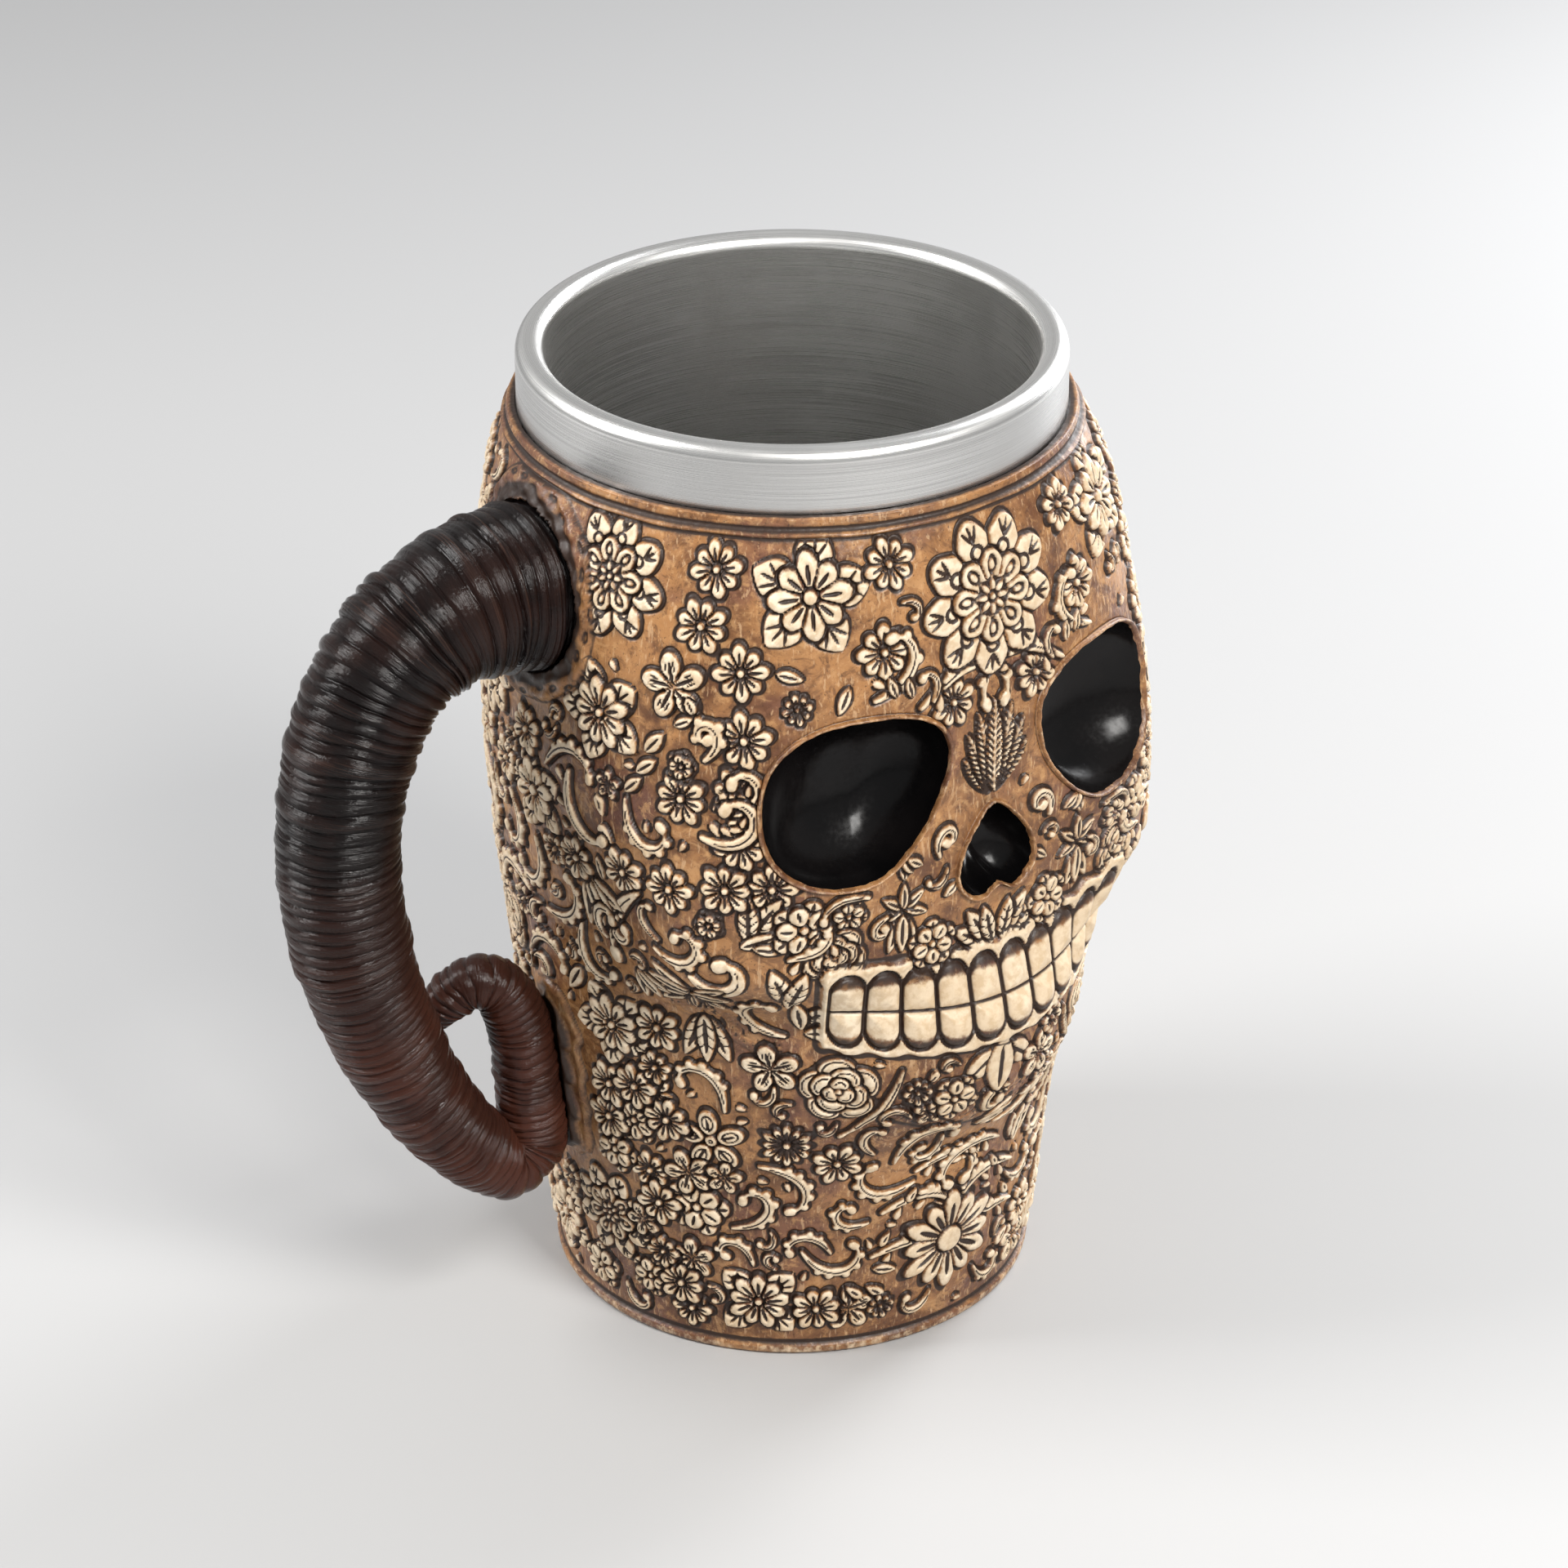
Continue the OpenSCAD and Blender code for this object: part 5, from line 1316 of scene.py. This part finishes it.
def bone_material(s):
    """Cast resin with an antique wash: rubbed bone tops, amber and umber ground, dark wash in the cuts."""
    n = Nodes("antiqued_bone_resin")
    place = n.place()
    broad = n.noise(place, 42.0, 5.0, 0.62, 0.6)
    patch = n.noise(place, 110.0, 6.0, 0.65, 0.8)
    grain = n.noise(place, 700.0, 4.0, 0.6)
    fine = n.noise(place, 2400.0, 3.0, 0.6)
    scratch = n.noise(n.stretched(place, (1500.0, 1500.0, 260.0), (0.4, 0.5, 0.3)), 1.0, 3.0, 0.6)
    tone = n.math("ADD", n.math("MULTIPLY", broad, 0.6), n.math("MULTIPLY", patch, 0.4))
    ground = n.mix(n.span(tone, 0.40, 0.58), tuple(s.umber), tuple(s.amber))
    plum = n.span(n.noise(place, 60.0, 3.0, 0.5, 0.3), 0.50, 0.62, 0.0, 0.72)
    ground = n.mix(plum, ground, (0.13, 0.050, 0.034))
    spot = n.noise(place, 230.0, 5.0, 0.7, 1.2)
    ground = n.mix(n.span(spot, 0.50, 0.62, 0.0, 0.6), ground, (0.085, 0.032, 0.013))
    ground = n.mix(n.span(spot, 0.46, 0.36, 0.0, 0.5), ground, (0.52, 0.29, 0.125))
    ground = n.mix(n.span(grain, 0.52, 0.72, 0.0, 0.5), ground, (0.58, 0.32, 0.13))
    ground = n.mix(n.span(fine, 0.40, 0.30, 0.0, 0.6), ground, tuple(s.wash))
    ground = n.mix(n.span(scratch, 0.57, 0.66, 0.0, 0.5), ground, (0.62, 0.40, 0.22))
    bone = n.value_of("bone")
    ink = n.value_of("ink")
    high = n.value_of("high")
    top = n.mix(n.span(grain, 0.35, 0.62, 0.55, 0.0), tuple(s.bone), (0.50, 0.34, 0.18))
    top = n.mix(n.span(broad, 0.38, 0.62, 0.40, 0.0), top, (0.54, 0.37, 0.20))
    worn = n.span(n.uneven(bone, grain, 0.7), 0.42, 0.74)
    colour = n.mix(worn, ground, top)
    rubbed = n.span(n.uneven(high, patch, 0.5), 0.25, 0.62, 0.62, 0.0)
    tan = n.mix(n.math("MULTIPLY", rubbed, worn), colour, (0.42, 0.21, 0.08))
    dark = n.span(n.uneven(ink, grain, 0.45), 0.24, 0.66, 0.0, 0.97)
    colour = n.mix(dark, tan, tuple(s.wash))
    rough = n.math("ADD", n.span(grain, 0.3, 0.7, 0.30, 0.50), n.math("MULTIPLY", dark, 0.12))
    small = n.math("ADD", n.math("MULTIPLY", fine, 0.3), n.math("MULTIPLY", scratch, 0.35))
    relief = n.math("ADD", n.math("MULTIPLY", grain, 0.6), small)
    n.set(Base_Color=colour, Roughness=rough, Normal=n.bump(relief, 0.45, 0.00022), Specular_IOR_Level=0.5)
    return n.material


def lacquer_material():
    """Black lacquer of the cavities, faintly uneven."""
    n = Nodes("black_lacquer")
    place = n.place()
    wave = n.noise(place, 90.0, 3.0, 0.5)
    dust = n.noise(place, 1500.0, 2.0, 0.5)
    colour = n.mix(n.span(wave, 0.35, 0.7), (0.0025, 0.0023, 0.0025), (0.006, 0.005, 0.005))
    n.set(Base_Color=colour, Roughness=n.span(dust, 0.3, 0.8, 0.16, 0.28), Normal=n.bump(wave, 0.25, 0.001),
          Specular_IOR_Level=0.17)
    return n.material


def horn_material(s):
    """Dark horn-coloured resin, warmer towards the tail, rubbed lighter on the crests of the ribs."""
    n = Nodes("horn_resin")
    place = n.place()
    uv = n.uv()
    low = n.add("ShaderNodeSeparateXYZ")
    n.link(place, low.inputs[0])
    crest = n.value_of("crest")
    streak = n.noise(n.stretched(uv, (900.0, 7.0, 1.0)), 1.0, 4.0, 0.6)
    broad = n.noise(place, 55.0, 4.0, 0.6)
    base = n.mix(n.span(low.outputs["Z"], 0.100, 0.040), tuple(s.dark), tuple(s.warm))
    base = n.mix(n.span(broad, 0.42, 0.60, 0.0, 0.7), base, (0.020, 0.0080, 0.0058))
    worn = n.math("MULTIPLY", n.span(crest, 0.62, 0.95), n.span(streak, 0.45, 0.7))
    base = n.mix(n.math("MULTIPLY", worn, 0.22), base, (0.13, 0.065, 0.045))
    base = n.mix(n.span(crest, 0.35, 0.0, 0.0, 0.75), base, (0.006, 0.004, 0.004))
    rough = n.span(n.noise(place, 240.0, 4.0, 0.6), 0.3, 0.75, 0.09, 0.24)
    relief = n.math("ADD", streak, n.math("MULTIPLY", n.noise(place, 1300.0, 3.0), 0.4))
    n.set(Base_Color=base, Roughness=rough, Normal=n.bump(relief, 0.7, 0.00028), Specular_IOR_Level=0.24)
    return n.material


def steel_material(s):
    """Steel brushed round the axis: fine streaks in the roughness and in the surface. The band outside is
    painted a darker steel than the inside, as painted shade.
    """
    n = Nodes("brushed_steel")
    uv = n.uv("Brush")
    streak = n.noise(n.stretched(uv, (5.0, 3200.0, 1.0)), 1.0, 5.0, 0.7)
    coarse = n.noise(n.stretched(uv, (2.5, 700.0, 1.0)), 1.0, 3.0, 0.6)
    smear = n.noise(n.place(), 45.0, 4.0, 0.6)
    low = n.add("ShaderNodeSeparateXYZ")
    n.link(uv, low.inputs[0])
    # Painted shade: the band outside, the last part of the Brush map's v, gets a darker steel (0.46 to 0.74)
    # than the inside (0.72 to 0.80). This stands in for the band's darker reflections.
    outside = n.span(low.outputs["Y"], 0.86, 0.90)
    tone = n.mix(n.span(streak, 0.3, 0.7), (0.72, 0.715, 0.70), tuple(s.steel))
    tone = n.mix(outside, tone, n.mix(n.span(streak, 0.3, 0.7), (0.46, 0.457, 0.45), (0.74, 0.735, 0.725)))
    tone = n.mix(n.span(smear, 0.5, 0.8, 0.0, 0.25), tone, (0.56, 0.55, 0.53))
    rough = n.math("ADD", n.span(streak, 0.25, 0.75, 0.20, 0.34), n.span(smear, 0.45, 0.8, 0.0, 0.08))
    relief = n.math("ADD", streak, n.math("MULTIPLY", coarse, 0.6))
    n.set(Base_Color=tone, Metallic=1.0, Roughness=rough, Normal=n.bump(relief, 0.22, 0.00006),
          Anisotropic=0.5)
    tangent = n.add("ShaderNodeTangent", direction_type="RADIAL", axis="Z")
    n.link(tangent.outputs[0], n.shader.inputs["Tangent"])
    return n.material


def epoxy_material():
    """Filled epoxy, dull and speckled."""
    n = Nodes("filled_epoxy")
    place = n.place()
    speck = n.noise(place, 1800.0, 4.0, 0.65)
    cloud = n.noise(place, 160.0, 4.0, 0.6)
    colour = n.mix(n.span(speck, 0.4, 0.65), (0.10, 0.085, 0.07), (0.24, 0.21, 0.18))
    colour = n.mix(n.span(cloud, 0.4, 0.65, 0.0, 0.5), colour, (0.15, 0.125, 0.10))
    n.set(Base_Color=colour, Roughness=n.span(cloud, 0.3, 0.7, 0.50, 0.70), Normal=n.bump(speck, 0.3, 0.0002))
    return n.material


def pin_material():
    """Drawn steel wire with faint lines along it."""
    n = Nodes("drawn_wire")
    place = n.place()
    line = n.noise(n.stretched(place, (60.0, 2500.0, 2500.0), (0, 0, math.radians(-6))), 1.0, 4.0, 0.6)
    colour = n.mix(n.span(line, 0.35, 0.65), (0.42, 0.42, 0.41), (0.60, 0.60, 0.59))
    rough = n.span(line, 0.3, 0.7, 0.24, 0.40)
    n.set(Base_Color=colour, Metallic=1.0, Roughness=rough, Normal=n.bump(line, 0.2, 0.00005))
    return n.material


def give(obj, *materials):
    """Puts materials into the object's slots, in place of those that it has."""
    obj.data.materials.clear()
    for material in materials:
        obj.data.materials.append(material)


# Operators

class MUG_OT_skull_shell(bpy.types.Operator):
    """Build the skull's shell: outer level minus relief plus pressed motifs, in closed wedges"""
    bl_idname = "mug.skull_shell"
    bl_label = "Skull Shell"

    def execute(self, context):
        s = context.scene.mug_shell
        if s.columns % s.wedges:
            raise RuntimeError("the columns must divide evenly by the wedges")
        xyz, ink, bone, high = shell_surface(s)
        normals = grid_normals(xyz)
        material = bone_material(s)
        step = s.columns // s.wedges
        for k in range(s.wedges):
            cols = np.arange(k * step, (k + 1) * step + 1) % s.columns
            az0 = SEAM_AZ + k * 360.0 / s.wedges
            piece = wedge(f"skull_wedge_{k + 1}", xyz[:, cols], normals[:, cols], ink[:, cols], bone[:, cols],
                          high[:, cols], az0, az0 + 360.0 / s.wedges)
            give(piece, material)
            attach(piece, "root")
            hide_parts("skull_shell")
        return {"FINISHED"}


class MUG_OT_cavities(bpy.types.Operator):
    """Build the linings of the eye sockets and of the nose: a bone bead round a glossy black bowl"""
    bl_idname = "mug.cavities"
    bl_label = "Eye Sockets and Nose"

    def execute(self, context):
        s = context.scene.mug_shell
        bone = bpy.data.materials.get("antiqued_bone_resin") or bone_material(s)
        black = lacquer_material()
        # name, edge, side, depth, width of the bead's ring, share of the edge's size
        cavities = (
            ("eye_socket_right", socket_edge, 1, EYE_DEEP, 0.055, 0.97),
            ("eye_socket_left", socket_edge, -1, EYE_DEEP, 0.055, 0.97),
            ("nose_cavity", nose_edge_back, 1, NOSE_DEEP, 0.11, 1.0),
        )
        for name, edge, side, deep, ring_w, fit in cavities:
            piece = lining(name, edge, side, deep, s, ring_w, fit)
            give(piece, bone, black)
            mesh = piece.data
            lacquer = np.empty(len(mesh.vertices), np.float32)
            mesh.attributes["lacquer"].data.foreach_get("value", lacquer)
            corners = lacquer[mesh_numbers(mesh.loops, "vertex_index")]
            least = np.minimum.reduceat(corners, mesh_numbers(mesh.polygons, "loop_start"))
            mesh.polygons.foreach_set("material_index", (least > 0.5).astype(np.int32))
            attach(piece, "root")
            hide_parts("skull_shell")
        return {"FINISHED"}


def horn_centres(n):
    """Points, radii and frames along the horn: a smooth curve through its knots, sampled evenly by length."""
    pad = np.vstack([HORN_KNOTS[0], HORN_KNOTS, HORN_KNOTS[-1]])
    t = np.linspace(0, len(HORN_KNOTS) - 1, 4000)
    i = np.minimum(t.astype(int), len(HORN_KNOTS) - 2)
    u = (t - i)[:, None]
    a, b, c, d = pad[i], pad[i + 1], pad[i + 2], pad[i + 3]
    p = 0.5 * (2 * b + (c - a) * u + (2 * a - 5 * b + 4 * c - d) * u ** 2 + (3 * b - a - 3 * c + d) * u ** 3)
    xyz = np.stack([p[:, 0], -p[:, 2], p[:, 1]], -1)
    s = np.concatenate([[0], np.cumsum(np.linalg.norm(np.diff(xyz, axis=0), axis=1))])
    at = np.linspace(0, s[-1], n)
    centre = np.stack([np.interp(at, s, xyz[:, j]) for j in range(3)], -1)
    radius = np.interp(at, s, p[:, 3])
    along = np.gradient(centre, axis=0)
    along[0] = (1, 0, 0)
    along /= np.linalg.norm(along, axis=1, keepdims=True)
    side = np.cross([0.0, 1.0, 0.0], along)
    side /= np.linalg.norm(side, axis=1, keepdims=True)
    face = np.cross(along, side)
    return at, centre, radius, side, face


def horn_ribs(at, radius, rib):
    """Places of the grooves along the horn, closer where it is thinner and uneven at random, and for the rib
    behind each its height from 0 to 1 and its lean."""
    rng = np.random.default_rng(5)
    marks, depths, x = [0.0], [0.0], 0.0
    while x < at[-1]:
        size = np.interp(x, at, radius) / HORN_R
        x += rib * (0.42 + 0.58 * size) * rng.choice([0.55, 0.8, 1.0, 1.2, 1.4]) * rng.uniform(0.85, 1.15)
        marks.append(x)
        depths.append(rng.uniform(0.5, 1.0))
    return np.array(marks), np.array(depths), rng.uniform(-1, 1, len(marks))


def horn_section(at, radius, w, s):
    """Radius and height of the crests over rings and angles: the horn's radius less depth * (1 - crest + fine
    lines), where crest = (1 - |off|^2.2)^0.55 and off runs from -1 to 1 across a rib that wanders along the
    horn."""
    row, thick = at[:, None], radius[:, None]
    wave = 0.45 * np.sin(w + 0.6)[None, :] + 0.30 * np.sin(2 * w + 1.9)[None, :] * np.sin(at / 9.0)[:, None]
    wave = wave + 0.24 * np.sin(3 * w[None, :] + row / 5.0) + 0.10 * np.sin(7 * w[None, :] - row / 3.0)
    place = np.clip(row + wave * (0.4 + 0.6 * thick / HORN_R), 0, at[-1])
    marks, heights, lean = horn_ribs(at, radius, s.rib / MM)
    rib = np.clip(np.searchsorted(marks, place, side="right") - 1, 0, len(marks) - 2)
    off = 2 * (place - marks[rib]) / (marks[rib + 1] - marks[rib]) - 1
    off = off + 0.22 * lean[rib] * (1 - np.abs(off))
    crest = np.clip(1 - np.abs(off) ** 2.2, 0, 1) ** 0.55 * heights[rib]
    depth = s.groove / MM * (0.35 + 0.65 * thick / HORN_R)
    fine = 0.16 * np.abs(np.sin(place * 4.1 + 2 * np.sin(w)[None, :])) * np.sin(place / 2.3) ** 2
    dip = 0.10 * np.sin(2 * w[None, :] + row / 3.1) + 0.07 * np.sin(5 * w[None, :] - row / 1.7)
    r = np.maximum(thick - 0.06 - depth * (1 - crest + fine) - 0.5 * np.abs(dip) * depth, 0.35)
    start = smooth(row, 0.0, 0.6)
    return r * start + (1 - start) * (thick - 0.5), crest


def horn_uv(rows, m):
    """UV pairs of the horn's corners: quads by ring and angle, and a disc for each end's triangles."""
    number = np.arange((rows - 1) * m)[:, None]
    ring = number // m + [0, 0, 1, 1]
    point = number % m + [0, 1, 1, 0]
    quads = np.stack([0.01 + 0.98 * (ring / (rows - 1)), 0.10 + 0.89 * (point / m)], -1).reshape(-1, 2)
    end = np.arange(2 * m)[:, None]
    middle = np.where(end < m, 0.25, 0.75)
    angle = (end % m + [0, 1, 0]) / m * 2 * math.pi
    out = np.array([0.04, 0.04, 0.0])
    discs = np.stack([middle + out * np.cos(angle), 0.045 + out * np.sin(angle)], -1).reshape(-1, 2)
    return np.concatenate([quads, discs])


class MUG_OT_horn_handle(bpy.types.Operator):
    """Build the horn: a round section carried along its curve, cut by close uneven grooves"""
    bl_idname = "mug.horn_handle"
    bl_label = "Horn Handle"

    def execute(self, context):
        s = context.scene.mug_horn
        m = s.sides
        at, centre, radius, side, face = horn_centres(s.rings)
        w = np.arange(m) / m * 2 * math.pi
        r, crest = horn_section(at, radius, w, s)
        out = np.cos(w)[None, :, None] * side[:, None, :] + np.sin(w)[None, :, None] * face[:, None, :]
        points = centre[:, None, :] + r[..., None] * out
        cap = [(centre[-1] + (points[-1] - centre[-1]) * share)[None] for share in (0.80, 0.45)]
        turn = math.radians(180 - HORN_TURN)
        spin = np.array([
            [math.cos(turn), -math.sin(turn), 0],
            [math.sin(turn), math.cos(turn), 0],
            [0, 0, 1],
        ])
        body = np.concatenate([points] + cap)
        rows = len(body)
        verts = np.concatenate([body.reshape(-1, 3), [centre[-1], centre[0]]]) @ spin.T
        tip, root = rows * m, rows * m + 1
        blocks = [grid_quads(rows, m, True), hub_faces(tip - m, m, tip), hub_faces(0, m, root, (1, 0, 2))]
        piece = new_object("ram_horn", verts, blocks)
        add_values(piece, crest=np.concatenate([crest.ravel(), np.full(2 * m, 0.6), [0.6, 0.5]]))
        add_uv(piece, horn_uv(rows, m))
        give(piece, horn_material(s))
        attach(piece, "root")
        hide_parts("horn_handle")
        return {"FINISHED"}


def cup_profile():
    """Closed profile of the cup, radius and height: over the lip, down the wall and along the floor to the
    axis, then back under the floor, under the lip, down the band's inner side and up its outer side."""
    r = CUP_FLOOR_R + SHEET_T
    flat = r - CUP_CORNER_R
    corner = CUP_Z + CUP_CORNER_R
    mid = MOUTH_R + LIP_R
    slope = MOUTH_R - r + SHEET_T
    wall_z = np.linspace(LIP_Z - 0.5, corner + 0.5, 60)
    out = arc(mid, LIP_Z, LIP_R, 0, 180, 33)
    out += [(r - SHEET_T + slope * (z - corner) / (LIP_Z - corner), z) for z in wall_z]
    out += arc(flat, corner, CUP_CORNER_R - SHEET_T, 0, -90, 17)
    out += [(x, CUP_Z + SHEET_T) for x in np.linspace(flat - 0.5, 0.4, 16)]
    back = [(x, CUP_Z) for x in np.linspace(0.4, flat - 0.5, 6)]
    back += arc(flat, corner, CUP_CORNER_R, -90, 0, 9)
    back += arc(mid, LIP_Z, LIP_R - SHEET_T, 180, 0, 17)
    back += [(RIM_R - SHEET_T, LIP_Z - 2), (RIM_R - SHEET_T, BAND_Z + 0.1)]
    back += [(RIM_R - 0.55, BAND_Z), (RIM_R - 0.15, BAND_Z)]
    back += [(RIM_R - 0.03, BAND_Z + 0.06), (RIM_R, BAND_Z + 0.2)]
    back += [(RIM_R, z) for z in np.linspace(BAND_Z + 0.5, LIP_Z - 0.4, 14)]
    return np.array(out), np.array(back)



class MUG_OT_steel_cup(bpy.types.Operator):
    """Build the steel cup: its profile turned round the axis, closed at both floors"""
    bl_idname = "mug.steel_cup"
    bl_label = "Steel Cup"

    def execute(self, context):
        s = context.scene.mug_steel
        m = s.turns
        out, back = cup_profile()
        profile = np.vstack([out, back])
        rows = len(profile)
        inner_last = len(out) - 1
        j = np.arange(m)
        nxt = (j + 1) % m
        w = j / m * 2 * math.pi
        ring = np.stack([np.cos(w), np.sin(w)], -1)
        pts = np.concatenate([profile[:, None, 0, None] * ring[None],
                              np.repeat(profile[:, 1, None, None], m, 1)], -1)
        verts = np.concatenate([pts.reshape(-1, 3), [[0, 0, CUP_Z + SHEET_T], [0, 0, CUP_Z]]])
        a = np.delete(np.arange(rows), inner_last)[:, None]
        b = (a + 1) % rows
        blocks = [
            np.stack([a * m + nxt, b * m + nxt, b * m + j, a * m + j], -1).reshape(-1, 4),
            hub_faces(inner_last * m, m, rows * m),
            hub_faces((inner_last + 1) * m, m, rows * m + 1, (1, 0, 2)),
        ]
        piece = new_object("steel_liner", verts, blocks)
        length = np.concatenate([[0], np.cumsum(np.linalg.norm(np.diff(profile, axis=0), axis=1))])
        along = np.append(length, length[-1] + 1.0) / (length[-1] + 1.0)
        u = np.stack([j + 1, j + 1, j, j], -1)[None] / m
        v = along[np.stack([a, a + 1, a + 1, a], -1)]
        end = np.arange(2 * m)[:, None]
        end_u = (end % m + [0, 1, 0]) / m
        end_v = np.where(end < m, along[inner_last], along[inner_last + 1]) + [0, 0, 0.001]
        brush = np.concatenate([np.stack(np.broadcast_arrays(u, v), -1).reshape(-1, 2),
                                np.stack([end_u, end_v], -1).reshape(-1, 2)])
        add_uv(piece, brush * [0.99, 0.97] + [0.005, 0.02], "OFBake")
        add_uv(piece, brush, "Brush")
        give(piece, steel_material(s))
        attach(piece, "root")
        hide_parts("steel_cup")
        return {"FINISHED"}


class MUG_OT_hidden_joints(bpy.types.Operator):
    """Give the glue rings and the dowels their materials; their solids already have the right shape"""
    bl_idname = "mug.hidden_joints"
    bl_label = "Glue and Dowels"

    def execute(self, context):
        epoxy, pin = epoxy_material(), pin_material()
        hidden = {"rim_bond": epoxy, "floor_bond": epoxy, "upper_dowel": pin, "lower_dowel": pin}
        for name, material in hidden.items():
            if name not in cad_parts:
                raise RuntimeError(f"the frame has no node {name}")
            give(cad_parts[name], material)
        return {"FINISHED"}


def area_light(name, place, size, power, colour):
    """Soft rectangular lamp that looks at the mug's middle."""
    lamp = bpy.data.lights.new(name, "AREA")
    lamp.shape = "RECTANGLE"
    lamp.size, lamp.size_y = size
    lamp.energy = power
    lamp.color = colour
    obj = bpy.data.objects.new(name, lamp)
    bpy.context.scene.collection.objects.link(obj)
    obj.location = place
    obj.rotation_euler = (Vector(LAMP_AIM) - Vector(place)).to_track_quat("-Z", "Y").to_euler()


class MUG_OT_stage(bpy.types.Operator):
    """Make the floor, the lamps, the world and the camera"""
    bl_idname = "mug.stage"
    bl_label = "Stage"

    def execute(self, context):
        s = context.scene.mug_stage
        scene = context.scene
        corners = np.array([[-1, -1, 0], [1, -1, 0], [1, 1, 0], [-1, 1, 0]]) * FLOOR_HALF
        floor = new_object("floor", corners / MM, [np.array([[0, 1, 2, 3]])], False)
        n = Nodes("floor_paint")
        n.set(Base_Color=tuple(s.floor), Roughness=0.55)
        give(floor, n.material)
        world = bpy.data.worlds.new("studio") if scene.world is None else scene.world
        scene.world = world
        world.use_nodes = True
        tree = world.node_tree
        tree.nodes.clear()
        out = tree.nodes.new("ShaderNodeOutputWorld")
        soft, seen = [tree.nodes.new("ShaderNodeBackground") for _ in range(2)]
        soft.inputs["Color"].default_value = (0.90, 0.92, 0.95, 1)
        soft.inputs["Strength"].default_value = 0.34
        seen.inputs["Color"].default_value = (0.50, 0.50, 0.50, 1)
        path = tree.nodes.new("ShaderNodeLightPath")
        either = path.outputs["Is Camera Ray"]
        for ray in ("Is Glossy Ray", "Is Transmission Ray"):
            more = tree.nodes.new("ShaderNodeMath")
            more.operation = "MAXIMUM"
            tree.links.new(either, more.inputs[0])
            tree.links.new(path.outputs[ray], more.inputs[1])
            either = more.outputs[0]
        pick = tree.nodes.new("ShaderNodeMixShader")
        tree.links.new(either, pick.inputs[0])
        tree.links.new(soft.outputs[0], pick.inputs[1])
        tree.links.new(seen.outputs[0], pick.inputs[2])
        tree.links.new(pick.outputs[0], out.inputs[0])
        area_light("key", (-0.05, -0.72, 0.72), (0.35, 0.35), 10.0, (1.0, 0.98, 0.95))
        area_light("side", (0.65, 0.10, 0.35), (0.25, 0.7), 5.5, (0.97, 0.98, 1.0))
        area_light("back", (-0.60, 0.38, 0.62), (0.35, 0.6), 7.5, (1.0, 0.99, 0.98))
        cam = bpy.data.cameras.new("camera")
        cam.sensor_width = 36
        cam.lens = s.lens
        cam.shift_x = SHIFT_X
        cam.clip_start, cam.clip_end = 0.05, 50
        obj = bpy.data.objects.new("camera", cam)
        scene.collection.objects.link(obj)
        way = Vector((
            math.sin(s.azimuth) * math.cos(s.elevation),
            -math.cos(s.azimuth) * math.cos(s.elevation),
            math.sin(s.elevation)))
        obj.location = Vector(CAMERA_TARGET) + way * s.distance
        obj.rotation_euler = (-way).to_track_quat("-Z", "Y").to_euler()
        scene.camera = obj
        scene.view_settings.view_transform = "Standard"
        return {"FINISHED"}


class MUG_PT_panel(bpy.types.Panel):
    """Sidebar panel with the mug's settings and builders"""
    bl_idname = "MUG_PT_panel"
    bl_label = "Skull Mug"
    bl_space_type = "VIEW_3D"
    bl_region_type = "UI"
    bl_category = "Skull Mug"

    def draw(self, context):
        layout = self.layout
        for group, names in GROUPS:
            box = layout.box()
            settings = getattr(context.scene, group)
            for name in settings.bl_rna.properties.keys():
                if name not in ("rna_type", "name"):
                    box.prop(settings, name)
            for name in names:
                box.operator(name)


GROUPS = (
    ("mug_shell", ("mug.skull_shell", "mug.cavities")),
    ("mug_horn", ("mug.horn_handle",)),
    ("mug_steel", ("mug.steel_cup", "mug.hidden_joints")),
    ("mug_stage", ("mug.stage",)),
)

CLASSES = (
    MugShellSettings,
    MugHornSettings,
    MugSteelSettings,
    MugStageSettings,
    MUG_OT_skull_shell,
    MUG_OT_cavities,
    MUG_OT_horn_handle,
    MUG_OT_steel_cup,
    MUG_OT_hidden_joints,
    MUG_OT_stage,
    MUG_PT_panel,
)


def register():
    for c in CLASSES:
        bpy.utils.register_class(c)
    bpy.types.Scene.mug_shell = PointerProperty(type=MugShellSettings)
    bpy.types.Scene.mug_horn = PointerProperty(type=MugHornSettings)
    bpy.types.Scene.mug_steel = PointerProperty(type=MugSteelSettings)
    bpy.types.Scene.mug_stage = PointerProperty(type=MugStageSettings)


def unregister():
    for name in ("mug_shell", "mug_horn", "mug_steel", "mug_stage"):
        delattr(bpy.types.Scene, name)
    for c in reversed(CLASSES):
        bpy.utils.unregister_class(c)


def main():
    """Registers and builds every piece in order."""
    register()
    bpy.ops.mug.stage()
    bpy.ops.mug.skull_shell()
    bpy.ops.mug.cavities()
    bpy.ops.mug.horn_handle()
    bpy.ops.mug.steel_cup()
    bpy.ops.mug.hidden_joints()


if __name__ == "__main__":
    main()
